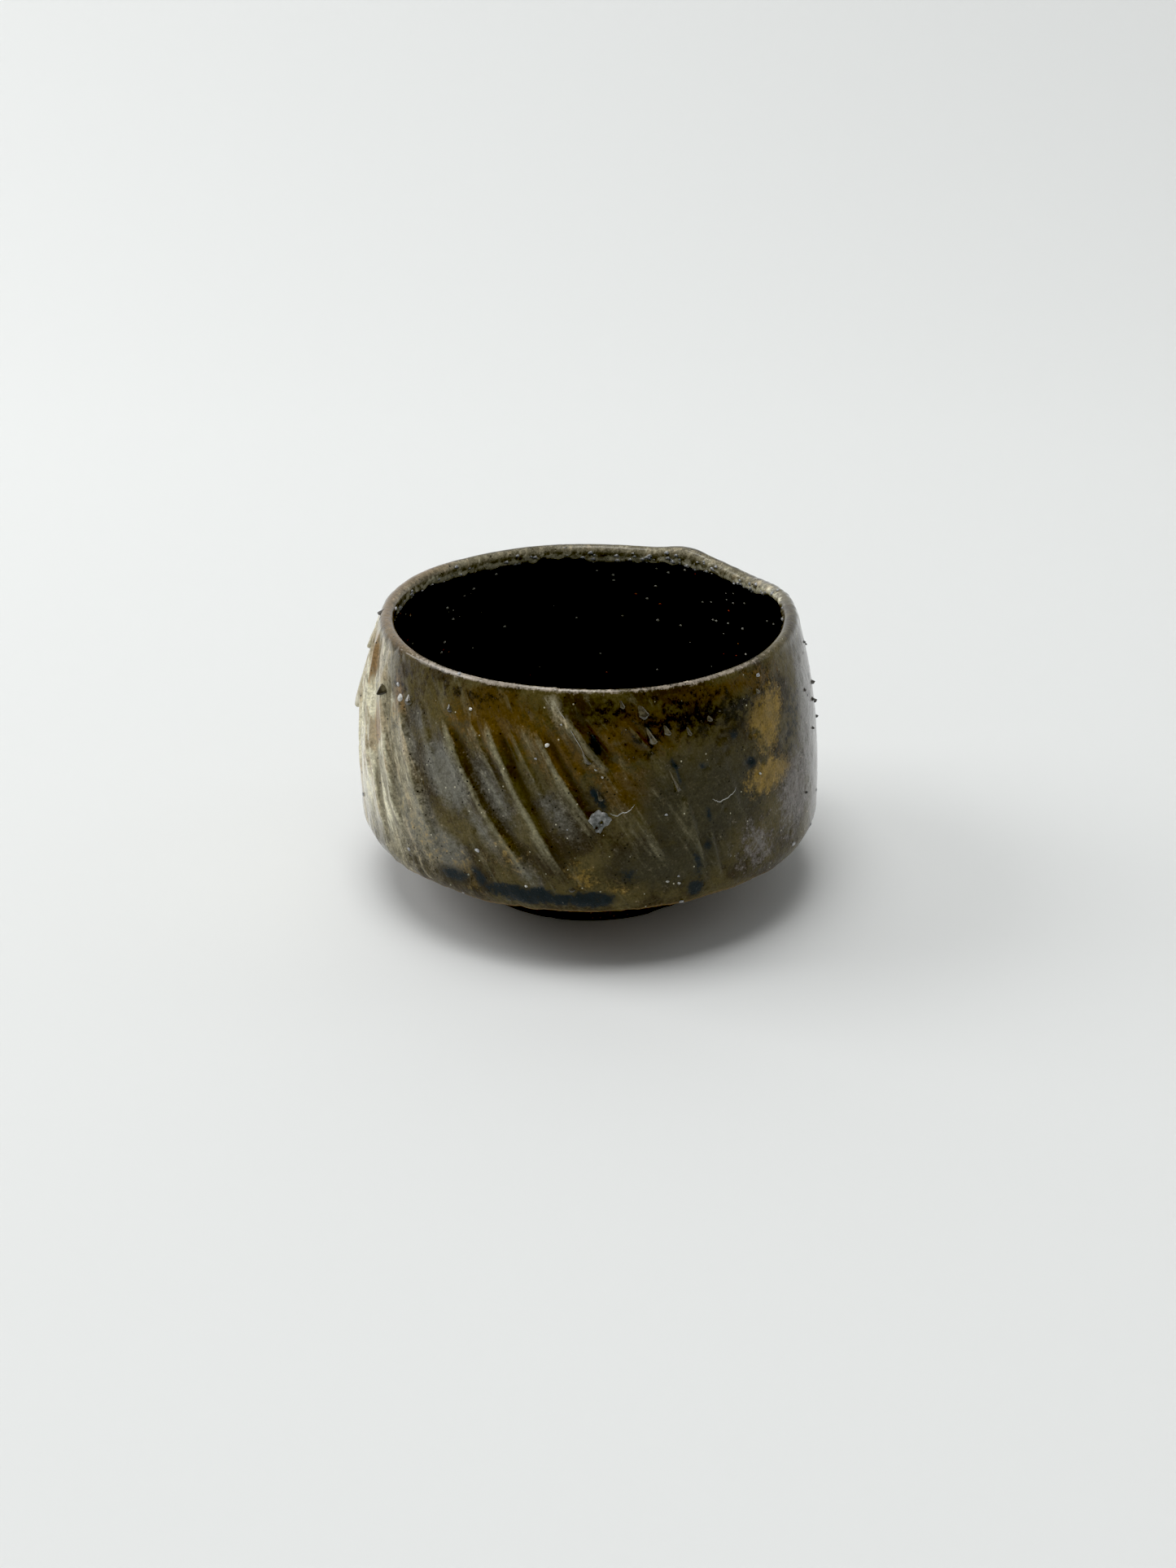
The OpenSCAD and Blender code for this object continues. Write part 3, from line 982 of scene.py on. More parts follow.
@dataclass(frozen=True)
class Scatter(Grower):
    """Geometry nodes that strew small melted grains over a surface.

    Args:
        density: Grains on a square centimetre.
        smallest: Smallest grain, in millimetres.
        largest: Largest grain.
        flat: Height of a grain as a share of its width.
        seed: Fixed seed of places and sizes.
    """

    density: float
    smallest: float
    largest: float
    flat: float
    seed: int

    label: ClassVar[str] = "strewn_grains"
    sizes: ClassVar[tuple[str, ...]] = ("Density", "Smallest", "Largest", "Flat")

    def shape(self, graph: Graph, given: dict[str, Value]) -> Value:
        """Strews lumpy grains where the mesh's strew field says.

        Args:
            graph: The tree's graph.
            given: The tree's inputs.

        Returns:
            The grains, as instances.
        """
        wanted = graph.node("GeometryNodeInputNamedAttribute", {"data_type": "FLOAT"}, {"Name": "strew"})
        spread = graph.tree.nodes.new("GeometryNodeDistributePointsOnFaces")
        for name, value in (("Mesh", given["Geometry"]), ("Density", given["Density"] * wanted),
                            ("Seed", given["Seed"])):
            graph.tree.links.new(value.socket, spread.inputs[name])
        random = {"Min_001": given["Smallest"], "Max_001": given["Largest"], "Seed": given["Seed"]}
        size = graph.node("FunctionNodeRandomValue", {"data_type": "FLOAT"}, random, "Value_001")
        squash = graph.node("ShaderNodeCombineXYZ", {}, {0: size, 1: size * 0.8, 2: size * given["Flat"]})
        grain = graph.node("GeometryNodeMeshIcoSphere", {}, {"Radius": 0.5, "Subdivisions": 2})
        lumps = graph.node("ShaderNodeTexNoise", {"noise_dimensions": "3D"},
                           {"Vector": graph.node("GeometryNodeInputPosition"), "Scale": 2.0}, "Color")
        shaken = graph.node("ShaderNodeVectorMath", {"operation": "SUBTRACT"}, {0: lumps, 1: (0.5, 0.5, 0.5)},
                            "Vector")
        rough = graph.node("GeometryNodeSetPosition", {}, {"Geometry": grain, "Offset": shaken})
        smoothed = graph.node("GeometryNodeSetShadeSmooth", {}, {"Geometry": rough})
        return graph.node("GeometryNodeInstanceOnPoints", {}, {
            "Points": Value(graph, spread.outputs["Points"]), "Instance": smoothed,
            "Rotation": Value(graph, spread.outputs["Rotation"]), "Scale": squash})

    def over(self, mesh: bpy.types.Mesh, finish: Finish) -> bpy.types.Mesh:
        """Strews grains over a mesh that carries a strew field, and returns only the grains."""
        return self.grown(mesh, {"Density": self.density * 1e4, "Smallest": self.smallest * MM,
                                 "Largest": self.largest * MM, "Flat": self.flat, "Seed": self.seed,
                                 "Material": finish.material()})


# ---------------------------------------------------------------- body and foot

@dataclass
class ThrownBody:
    """The clay: a thrown wall and base, and the ring turned under it.

    Args:
        form: The bowl's form.
        cols: Columns of the body's mesh.
        foot_cols: Columns of the foot's mesh.
        base_rows: Rows of the bare underside.
        hidden_rows: Rows under the glazes.
        bevel: Width of the foot's hand-cut bevels.
        underside_marks: What the turning tool left on the underside.
        foot_marks: What it left on the foot.
    """

    form: BowlForm
    cols: int = 480
    foot_cols: int = 360
    base_rows: int = 60
    hidden_rows: int = 46
    bevel: float = 0.9
    underside_marks: SpiralMarks = SpiralMarks(2.3, 0.22, 1.4, 11)
    foot_marks: SpiralMarks = SpiralMarks(1.7, 0.12, 0.8, 12)

    def build(self) -> None:
        """Makes the body and the foot ring."""
        fit("thrown_body", self.body(), CLAY, ["clay_body"])
        fit("turned_foot", self.foot(), FOOT_CLAY, ["foot_ring"])

    def body(self) -> bpy.types.Mesh:
        """The clay under both glazes, with the bare underside cut by the turning tool.

        Returns:
            The mesh, closed at the middle of the well and of the underside.
        """
        form = self.form
        deep = form.glaze_t + 0.08
        over = Outline(form.glazed_line(deep, 90 - form.under_slope))
        end = over.points[-1]
        under = Outline(np.vstack([
            np.linspace(end, (form.foot_r - 0.3, form.foot_h), 30), [[0, form.foot_h]]]))
        a = columns(self.cols)
        hidden = over.rows(np.zeros(self.cols), np.full(self.cols, over.s[-1]), self.hidden_rows)
        shown = under.rows(np.zeros(self.cols), np.full(self.cols, under.s[-1]), self.base_rows)[1:]
        grids = []
        for line, s in ((over, hidden), (under, shown)):
            r, z, _, _ = line.at(s)
            grids.append(place(np.broadcast_to(a, s.shape), r, z).reshape(*s.shape, 3))
        grid = np.vstack(grids)
        flat = grid.reshape(-1, 3)
        low = smooth(22, 15, flat[:, 2])
        flat[:, 2] += low * (0.14 * noise(flat, 14, 3, 2) + 0.05 * noise(flat, 1.6, 4, 2))
        skin = Skin.turned(form.hand(flat).reshape(grid.shape), closed=False)
        return self.underside_marks.cut(skin.mesh("thrown_body"), CLAY)

    def foot(self) -> bpy.types.Mesh:
        """The foot ring, chamfered by hand and a little worn where it stands.

        Returns:
            The mesh of the closed ring.
        """
        form, bevel = self.form, self.bevel
        outer, inner = form.foot_r, form.foot_r - form.foot_w
        top = form.foot_h + 0.25
        ring = [(inner, top), (inner, bevel), (inner + bevel, 0),
                (outer - bevel, 0), (outer, bevel), (outer, top)]
        points = []
        for (r0, z0), (r1, z1) in zip(ring, ring[1:] + ring[:1]):
            steps = max(2, int(math.hypot(r1 - r0, z1 - z0) / 0.5))
            points += [(r0 + (r1 - r0) * i / steps, z0 + (z1 - z0) * i / steps) for i in range(steps)]
        r, z = (np.array(v)[:, None] for v in zip(*points))
        a = np.broadcast_to(columns(self.foot_cols), (len(points), self.foot_cols))
        p = place(a, np.broadcast_to(r, a.shape), np.broadcast_to(z, a.shape))
        mid = (outer + inner) / 2
        side = np.sign(np.hypot(p[:, 0], p[:, 1]) - mid)
        standing = smooth(0.0, 1.2, p[:, 2])
        swell = standing * (0.10 * noise(p, 9, 21, 2) + 0.07 * noise(p, 1.8, 22, 2) - 0.08)
        chips = smooth(0.45, 0.8, noise(p, 3.5, 23)) * bump(p[:, 2] - bevel * 0.6, 0.9) * 0.5
        push = 1 + side * (swell - chips) / np.hypot(p[:, 0], p[:, 1])
        p[:, 0] *= push
        p[:, 1] *= push
        skin = Skin.turned(p.reshape(*a.shape, 3), closed=True)
        return self.foot_marks.cut(skin.mesh("turned_foot"), FOOT_CLAY)


# ---------------------------------------------------------------- the ash jacket

class End(Enum):
    """How a brushed ridge ends at its foot."""

    FADE = "fade"
    ROUND = "round"


@dataclass(frozen=True)
class Stroke:
    """One brushed ridge of pale glaze.

    Args:
        azimuth: Azimuth at its top.
        top: Height of its top.
        foot: Height of its foot.
        lean: Degrees that it turns for each millimetre of fall.
        width: Width of its crest.
        rise: Height of its crest off the glaze.
        tone: How pale it is.
        end: How its foot ends.
    """

    azimuth: float
    top: float
    foot: float
    lean: float
    width: float = 2.2
    rise: float = 0.6
    tone: float = 1.0
    end: End = End.FADE

    def over(self, a: Array, z: Array, r: Array) -> tuple[Array, Array]:
        """Height and paleness that the stroke gives to points of the wall; the paleness holds its pale glaze
        and painted light and shade of the ridge.

        Args:
            a: Azimuths.
            z: Heights.
            r: Radii.

        Returns:
            Height in millimetres, and paleness from about -1 to 1.
        """
        side = turn(a - self.azimuth - self.lean * (self.top - z)) * math.pi / 180 * r / self.width
        t = (self.top - z) / (self.top - self.foot)
        if self.end is End.ROUND:
            fade = smooth(-0.05, 0.35, t) * np.sqrt(np.clip(1 - np.clip((t - 0.62) / 0.38, 0, 1) ** 2, 0, 1))
        else:
            fade = smooth(-0.05, 0.16, t) * smooth(1.08, 0.7, t)
        crest = np.where(side < 0, smooth(-1.7, 0, side), smooth(0.5, 0, side))
        valley = bump(side - 0.95, 0.45)
        # Paleness: the ridge's pale glaze, plus a painted highlight on its crest and left slope, and painted
        # shade in the furrow to its right.
        pale = np.where(side < 0, np.exp(np.minimum(side, 0) / 0.8), smooth(0.35, 0, side))
        pale = pale + 0.5 * bump(side + 0.05, 0.2) - 1.1 * bump(side - 0.8, 0.5)
        return fade * self.rise * (crest - 0.42 * valley), fade * pale * self.tone


@dataclass(frozen=True)
class Patch:
    """A patch of one colour on the jacket: where it is, how large, and its lean."""

    azimuth: float
    height: float
    half_turn: float
    half_rise: float
    lean: float = 0.0
    strength: float = 1.0

    def over(self, a: Array, z: Array) -> Array:
        """1 in the middle, 0 on the patch's edge and -1 far away."""
        da = turn(a - self.azimuth - self.lean * (self.height - z)) / self.half_turn
        dz = (z - self.height) / self.half_rise
        return np.clip(self.strength - np.hypot(da, dz) * self.strength, -1, 1)


FRONT_STROKES = (
    Stroke(-91, 69, 42, 0.15, 2.0, 0.4), Stroke(-84, 70, 38, 0.20, 1.6, 0.5),
    Stroke(-76.5, 68, 34, 0.25, 1.7, 0.9), Stroke(-72, 57, 22, 0.42, 1.8, 0.9),
    Stroke(-66, 63, 27, 0.44, 2.2, 1.15, 1.2), Stroke(-55, 59, 27, 0.54, 2.4, 0.9),
    Stroke(-47, 61, 44, 0.60, 1.6, 0.45, 0.5), Stroke(-39, 60, 22, 0.73, 3.4, 0.85, 0.9),
    Stroke(-31, 62, 42, 0.66, 1.5, 0.35, 0.4), Stroke(-26, 61.5, 26, 0.57, 3.0, 0.8, 0.8),
    Stroke(-19.5, 60, 42, 0.60, 1.3, 0.3, 0.35), Stroke(-13.4, 61, 36, 0.63, 2.7, 0.8, 0.8),
    Stroke(-6.6, 65, 52, 0.80, 2.8, 1.6, 0.55, End.ROUND), Stroke(-8.8, 71, 63.5, 0.35, 0.8, 0.6, 0.3),
    Stroke(2.6, 53, 30, 0.62, 2.1, 0.45, 0.22), Stroke(8.0, 63.5, 56.5, 0.80, 1.6, 0.8, 0.3, End.ROUND),
    Stroke(9.4, 46, 25, 0.48, 2.3, 0.5, 0.3), Stroke(16.5, 60, 47, 0.36, 1.3, 0.5, 0.25),
    Stroke(22.4, 44, 24, 0.27, 1.4, 0.6, 0.35), Stroke(28.8, 34, 20, 0.25, 1.3, 0.55, 0.4),
    Stroke(33, 52, 37, 0.30, 1.4, 0.25, 0.2),
)
PATCHES: dict[str, tuple[Patch, ...]] = {
    "amber": (
        Patch(-24, 62, 18, 9, 0, 1.2), Patch(-8, 56, 12, 9, 0.6, 0.9), Patch(12, 60, 16, 8, 0, 1.1),
        Patch(8, 48, 9, 9, 0.5, 0.8), Patch(35, 66, 25, 4, 0, 0.8), Patch(-205, 60, 40, 9),
        Patch(-130, 63, 30, 6, 0, 0.8),
    ),
    "ochre": (
        Patch(50, 55.5, 6.5, 9, -0.3, 1.4), Patch(46.5, 57.5, 6, 6, 0, 1.1),
        Patch(48, 42.5, 10.5, 5, 0, 1.3), Patch(-40, 29, 8, 6, 0.6, 0.3),
        Patch(-30, 24, 6, 5, 0.6, 0.3), Patch(-19, 30, 5, 5, 0.6, 0.3), Patch(-1, 26, 4, 5, 0.4, 0.5),
        Patch(6, 22.5, 5, 3, 0, 0.35), Patch(-58, 60, 5, 8, 0.4, 0.3), Patch(186, 42, 16, 9, 0.6, 0.9),
    ),
    "pool": (
        Patch(-15.5, 20.8, 10.5, 2.7, 0, 2.2), Patch(0.5, 20.4, 7.0, 2.5, 0, 2.2),
        Patch(-26, 23.0, 2, 3, 0.5, 0.9), Patch(-7, 20.2, 6, 1.8, 0, 1.6),
        Patch(25, 20.6, 2.4, 2.4, 0.2, 1.6), Patch(25.5, 27, 1.2, 5, 0.2, 0.7),
        Patch(28.4, 38.5, 1.2, 2.2, 0.2, 0.9), Patch(28.2, 31, 1.2, 2, 0.2, 0.7),
        Patch(41.8, 47.6, 2.0, 1.8, 0, 1.3), Patch(27.5, 50, 1.6, 1.4, 0, 0.9),
        Patch(37, 55.5, 1.3, 1.3, 0, 0.9), Patch(-33, 22.0, 5, 2.2, 0, 0.8),
        Patch(9, 26, 2.2, 2, 0, 0.6), Patch(14.3, 60.5, 1.5, 4.5, 0.3, 1.0),
        Patch(20.9, 49.5, 1.0, 5.0, 0.4, 0.9), Patch(18.7, 60.6, 1.6, 1.8, 0, 0.9),
        Patch(2.0, 45.5, 1.6, 3.4, 0.5, 1.3), Patch(1.5, 57.5, 2.2, 3.0, 0.5, 1.0),
        Patch(150, 21, 18, 3.2, 0, 1.2), Patch(-120, 21, 14, 3, 0, 1.1),
    ),
    "speckle": (
        Patch(5, 64.5, 10, 4.2, 0, 1.2), Patch(26, 63, 22, 7.5, 0, 1.3), Patch(38, 61, 12, 6, 0, 1.2),
        Patch(60, 51, 7, 10, -0.3, 0.9), Patch(12, 57.5, 6, 5, 0.5, 0.9), Patch(-30, 66, 25, 4, 0, 0.6),
        Patch(-57, 62, 10, 6, 0, 0.6), Patch(90, 50, 22, 22, 0, 0.5), Patch(200, 64, 30, 5, 0, 0.9),
    ),
    "dusk": (
        Patch(28, 42, 22, 16, 0, 1.3), Patch(20, 28, 20, 8, 0, 1.1), Patch(175, 34, 40, 12, 0, 1.0),
    ),
    "slate": (
        Patch(-36, 46, 8, 10, 0.5, 1.5), Patch(-47, 33, 13, 12, 0.5, 1.3),
        Patch(-22, 44, 5, 12, 0.6, 0.7), Patch(-36, 28, 9, 7, 0.5, 1.5),
        Patch(-8, 42, 5, 10, 0.63, 0.6), Patch(-50, 50, 6, 8, 0.4, 0.8), Patch(-25, 35, 4, 9, 0.7, 0.8),
        Patch(-14, 26, 4, 7, 0.6, 0.7), Patch(-46, 56, 6, 6, 0.4, 0.5), Patch(-55, 30, 8, 8, 0, 0.7),
        Patch(-70, 38, 8, 10, 0.2, 0.7), Patch(70, 50, 9, 18, -0.2, 1.2), Patch(86, 44, 16, 24, 0, 1.2),
        Patch(-150, 40, 12, 12, 0.5, 0.7),
    ),
    "violet": (
        Patch(60, 34, 12, 13, 0, 0.9), Patch(80, 40, 22, 30, 0, 1.3), Patch(108, 44, 22, 26, 0, 1.2),
        Patch(44, 27, 8, 8, 0, 0.5),
    ),
    # Cream: pale brushing; the broad patches on the left flank are partly a painted highlight of the left
    # window's glare.
    "cream": (
        Patch(-84, 46, 30, 30, 0.1, 1.9), Patch(-100, 46, 22, 26, 0.3, 1.1),
        Patch(-58, 34, 8, 16, 0.4, 0.7), Patch(-125, 48, 16, 16, 0.5, 0.6),
        Patch(-50, 42, 4, 14, 0.5, 0.35), Patch(-9, 67, 1.2, 3.0, 0.4, 0.3),
        Patch(-68, 48, 10, 22, 0.2, 1.3),
    ),
    "tan": (
        Patch(-65, 50, 3.6, 8, 0.35, 0.9), Patch(-56, 60, 5, 8, 0.4, 0.6),
        Patch(-75, 62, 5, 8, 0.3, 0.8), Patch(-86, 50, 4, 12, 0.4, 0.5),
        Patch(-108, 40, 4, 14, 0.4, 0.5),
    ),
}


@dataclass
class AshJacket:
    """The outer glaze: it laps into the bowl, covers the lip and wall, and stops under the hip."""

    form: BowlForm
    cols: int = 720
    rows: int = 116
    back_rows: int = 7
    strokes: list[Stroke] = field(default_factory=list)
    fringe: Scatter = Scatter(90.0, 0.4, 1.5, 0.5, 17)

    def __post_init__(self) -> None:
        """Adds the strokes round the left side and the back to those at the front."""
        rng = np.random.default_rng(7)
        self.strokes = list(FRONT_STROKES)
        azimuth = -98.0
        while azimuth > -200:
            top, foot = rng.uniform(54, 68), rng.uniform(20, 31)
            self.strokes.append(Stroke(azimuth, top, foot, rng.uniform(0.4, 0.65), rng.uniform(1.5, 2.6),
                                       rng.uniform(0.5, 1.0)))
            azimuth -= rng.uniform(5.5, 9.5)
        self.line = Outline(self.form.glazed_line(0.0, UNDER_HIP))

    def build(self) -> None:
        """Makes the jacket and the fringe of grains along its lap."""
        mesh = self.skin().mesh("ash_jacket")
        fit("ash_jacket", mesh, ASH, ["outer_glaze", "brushed_strokes"])
        fit("lap_fringe", self.fringe.over(mesh, FELDSPAR), FELDSPAR)

    def edges(self, a: Array) -> tuple[Array, Array]:
        """Arc lengths at which the glaze ends inside the bowl and under the hip.

        Args:
            a: Azimuths of the columns.

        Returns:
            The start and the end of each column.
        """
        ring = place(a, np.full(a.shape, self.form.waist_r), np.zeros(a.shape))
        front = smooth(85, 45, np.abs(turn(a)))
        ragged = 0.6 * noise(ring, 9, 41, 2) + 0.6 * noise(ring + 50, 2.6, 42)
        depth = 4.7 - 2.4 * front - 1.9 * bump(turn(a - 100), 20) + (1 - 0.6 * front) * ragged
        lap = self.line.inside_at(self.form.height - 1.4) - (depth - 1.4)
        stop = self.line.s[-1] - self.form.hip_r * math.radians(UNDER_HIP - self.form.glaze_stop)
        return lap, stop + 0.75 * noise(ring, 13, 43, 2) + 0.25 * noise(ring + 90, 4, 44)

    def relief(self, p: Array, a: Array, z: Array, r: Array, outside: Array) -> tuple[Array, Array]:
        """Height of the glaze off the even form, and the paleness of the brushing, which holds painted light
        and shade of its ridges.

        Args:
            p: Places on the even form.
            a: Their azimuths.
            z: Their heights.
            r: Their radii.
            outside: 1 on the outer wall and 0 inside the lip.

        Returns:
            Height in millimetres, and paleness from about -1 to 1.
        """
        height, pale = np.zeros(len(p)), np.zeros(len(p))
        for stroke in self.strokes:
            rise, tone = stroke.over(a, z, r)
            wobble = 1 + 0.35 * noise(p, 6, 51)
            height += rise * wobble
            pale += tone
        lean = np.radians(LEAN * z)
        c, s = np.cos(lean), np.sin(lean)
        combed = np.column_stack([c * p[:, 0] - s * p[:, 1], s * p[:, 0] + c * p[:, 1], z / 7])
        smooth_side = smooth(34, 62, a) * smooth(128, 104, a)
        hairs = 0.22 * noise(combed, 3.4, 52, 2) + 0.10 * noise(combed, 1.3, 53)
        height += outside * (1 - 0.7 * smooth_side) * hairs
        height += 0.14 * noise(p, 7, 54, 2) + 0.10 * noise(p, 2.2, 55, 2)
        pits = smooth(0.5, 0.85, noise(p, 1.9, 56)) * (0.3 + smooth(0.0, 0.4, noise(p, 15, 57)))
        height -= 0.22 * pits * outside
        crumple = bump(turn(a + 27), 24) * bump(z - (self.form.height - 2.0), 3.0)
        height += crumple * 0.24 * noise(p, 1.5, 58, 2)
        across_lip = bump(turn(a - 112), 22) * bump(z - (self.form.height - 1.5), 3.0)
        height += across_lip * 0.45 * noise(p * (1.0, 1.0, 0.15), 1.9, 60)
        height += 0.7 * bump(turn(a - 148), 9) * smooth(66, 70, z) * (0.7 + 0.5 * noise(p, 4, 59))
        return height * (0.35 + 0.65 * outside), pale

    def skin(self) -> Skin:
        """The closed skin of the jacket.

        Returns:
            The skin, with the fields that its finish reads.
        """
        form, line = self.form, self.line
        a = columns(self.cols)
        lap, stop = self.edges(a)
        s = line.rows(lap, stop, self.rows)
        r, z, _, _ = line.at(s)
        az = np.broadcast_to(a, s.shape)
        flat_a, flat_z, flat_r = turn(az.ravel()), z.ravel(), r.ravel()
        p = place(az, r, z)
        outside = smooth(line.crown - 0.5, line.crown + 3.5, s).ravel()
        height, pale = self.relief(p, flat_a, flat_z, flat_r, outside)
        from_lap, to_stop = (s - lap).ravel(), (stop - s).ravel()
        thin = form.glaze_t + 0.15
        roll = 0.28 + 0.22 * noise(p, 6, 61)
        lap_roll = smooth(40, 90, np.abs(flat_a)) * (0.6 + 0.8 * noise(p, 2.5, 62))
        height += roll * bump(to_stop - 1.1, 0.9) + 0.35 * bump(from_lap - 1.0, 0.8) * lap_roll
        ends = smooth(-0.1, 0.9, to_stop) ** 0.5 * smooth(-0.1, 0.8, from_lap) ** 0.5
        height = ((height + thin) * ends - thin).reshape(s.shape)
        skin = shell(form, line, s, height, line.rows(stop, lap, self.back_rows)[1:-1], thin)
        fields = self.patches(flat_a, flat_z, outside)
        fields["streak"] = np.clip(pale, -1, 1)
        fields["edge"] = bump(to_stop - 0.9, 0.9)
        self.dress_lip(fields, flat_a, s.ravel() - line.crown, from_lap, outside)
        skin.carry(fields)
        return skin

    def patches(self, a: Array, z: Array, outside: Array) -> dict[str, Array]:
        """The fields of the colour patches, and where the brushing shows.

        Args:
            a: Azimuths.
            z: Heights.
            outside: 1 on the outer wall and 0 inside the lip.

        Returns:
            Values from -1 to 1 by the patch's name.
        """
        fields = {key: np.max([patch.over(a, z) for patch in group], axis=0) * outside - (1 - outside)
                  for key, group in PATCHES.items()}
        fields["brushed"] = outside * (1 - 0.7 * smooth(6, 40, a) * smooth(150, 110, a))
        return fields

    def dress_lip(self, fields: dict[str, Array], a: Array, along: Array, from_lap: Array,
                  outside: Array) -> None:
        """Adds the fields of the lip, its lap inside, the painted highlight along the front of the crown and
        the gloss.

        Args:
            fields: The fields so far, which are changed.
            a: Azimuths.
            along: Arc lengths from the crown, outwards.
            from_lap: Arc lengths from the lap's edge inside.
            outside: 1 on the outer wall and 0 inside the lip.
        """
        side = np.abs(a)
        left = smooth(-35, -60, a) * smooth(-150, -120, a)
        front, rear = smooth(70, 42, side), smooth(60, 110, side)
        fields["edge"] += 0.75 * left * bump(along, 2.6)
        fields["shade"] = front * smooth(0.4, -0.3, along)
        # The line field is a painted highlight along the front crown, strongest near -28 degrees as painted
        # sparkle.
        crown_highlight_strength = 0.55 + 0.75 * bump(turn(a + 28), 20) + 0.3 * bump(turn(a - 35), 16)
        fields["line"] = front * bump(along - 0.9, 0.75) * crown_highlight_strength
        near_lap = bump(from_lap - 1.5, 1.6) * rear
        fields["fringe"] = 1.9 * near_lap - 1.0
        inner_band = rear * smooth(1.5, -1.0, along)
        fields["cream"] = np.maximum(fields["cream"], 1.1 * inner_band - 1)
        fields["slate"] = np.maximum(fields["slate"], 1.3 * inner_band - 1)
        fields["strew"] = near_lap * (0.12 + 0.4 * bump(turn(a - 150), 35)) + 0.002 * outside
        left_flank = smooth(-46, -70, a) * smooth(-130, -105, a)
        right_flank = smooth(58, 74, a) * smooth(132, 112, a)
        crown = (0.9 * bump(along - 1.0, 2.2) + 0.5 * bump(from_lap - 1.0, 1.5)) * (1 - front)
        brushing = 0.35 * np.clip(fields["streak"], 0, 1)
        fields["gloss"] = crown + fields["line"] + left_flank + 0.6 * right_flank + brushing


# ---------------------------------------------------------------- the black lining

@dataclass
class BlackLining:
    """The glaze inside, from under the jacket's lap down to the middle of the well.

    Args:
        form: The bowl's form.
        cols: Columns of its mesh.
        rows: Rows of the shown face.
        back_rows: Rows of the hidden back.
        depth: Depth of its face under the glazed outline.
        thick: Its own thickness.
        under_lip: How far below the lip it starts.
        spiral: The throwing marks in the well.
        grains: The pale grains that show in it.
        rusty: The spots of rust.
    """

    form: BowlForm
    cols: int = 480
    rows: int = 96
    back_rows: int = 12
    depth: float = 0.22
    thick: float = 0.5
    under_lip: float = 1.5
    spiral: SpiralMarks = SpiralMarks(8.5, 0.13, 7.0, 13)
    grains: Scatter = Scatter(1.5, 0.35, 1.2, 0.7, 5)
    rusty: Scatter = Scatter(0.5, 0.4, 1.0, 0.3, 9)

    def build(self) -> None:
        """Makes the lining and the grains that show in it."""
        form = self.form
        line = Outline(form.glazed_line(self.depth, UNDER_HIP))
        top = line.inside_at(form.height - self.under_lip)
        rim, middle = np.full(self.cols, top), np.zeros(self.cols)
        s = line.rows(rim, middle, self.rows)
        r, z, _, _ = line.at(s)
        p = place(np.broadcast_to(columns(self.cols), s.shape), r, z)
        height = (0.12 * noise(p, 16, 71, 2) + 0.04 * noise(p, 3, 72, 2)).reshape(s.shape)
        height *= np.clip(r / 8, 0, 1)
        skin = shell(form, line, s, height, line.rows(middle, rim, self.back_rows), self.thick)
        strew = smooth(0, 2, (top - s).ravel() - 2.0) * (0.35 + 0.65 * smooth(30, 60, z.ravel()))
        skin.carry({"strew": strew})
        marked = self.spiral.cut(skin.mesh("black_lining"), BLACK)
        fit("black_lining", marked, BLACK, ["inner_glaze"])
        fit("lining_grains", self.grains.over(marked, ASH_SPECK), ASH_SPECK)
        fit("lining_rust", self.rusty.over(marked, RUST), RUST)


# ---------------------------------------------------------------- drops, stones and grit

SUNK = 0.9          # how far a bead's base lies under the glaze
SWEEP_BACK = 0.45   # degrees that a bead's tail leans for each millimetre of rise


def polar(rings: int, sides: int) -> tuple[Array, Array]:
    """Share of the radius and angle at every point of a round grid."""
    return np.meshgrid(np.linspace(0, 1, rings), np.arange(sides) * 2 * math.pi / sides, indexing="ij")


def set_in(form: BowlForm, a: Array, face: Array, z: Array, edge: Array, middle: float) -> Skin:
    """Closed skin of a lump that is set into the glaze.

    Args:
        form: The bowl's form.
        a: Azimuths of a round grid, with its middle in the first row.
        face: Radii of the lump's face.
        z: Heights.
        edge: Radii of the wall under the last row.
        middle: Radius of the wall under the middle.

    Returns:
        The skin, its base sunk under the glaze.
    """
    base = np.stack([a[-1:], edge - SUNK, z[-1:]])
    close = np.stack([np.full((1, a.shape[1]), v) for v in (a[0, 0], middle - SUNK, z[0, 0])])
    return thrown(form, *np.concatenate([np.stack([a, face, z]), base, close], axis=1))


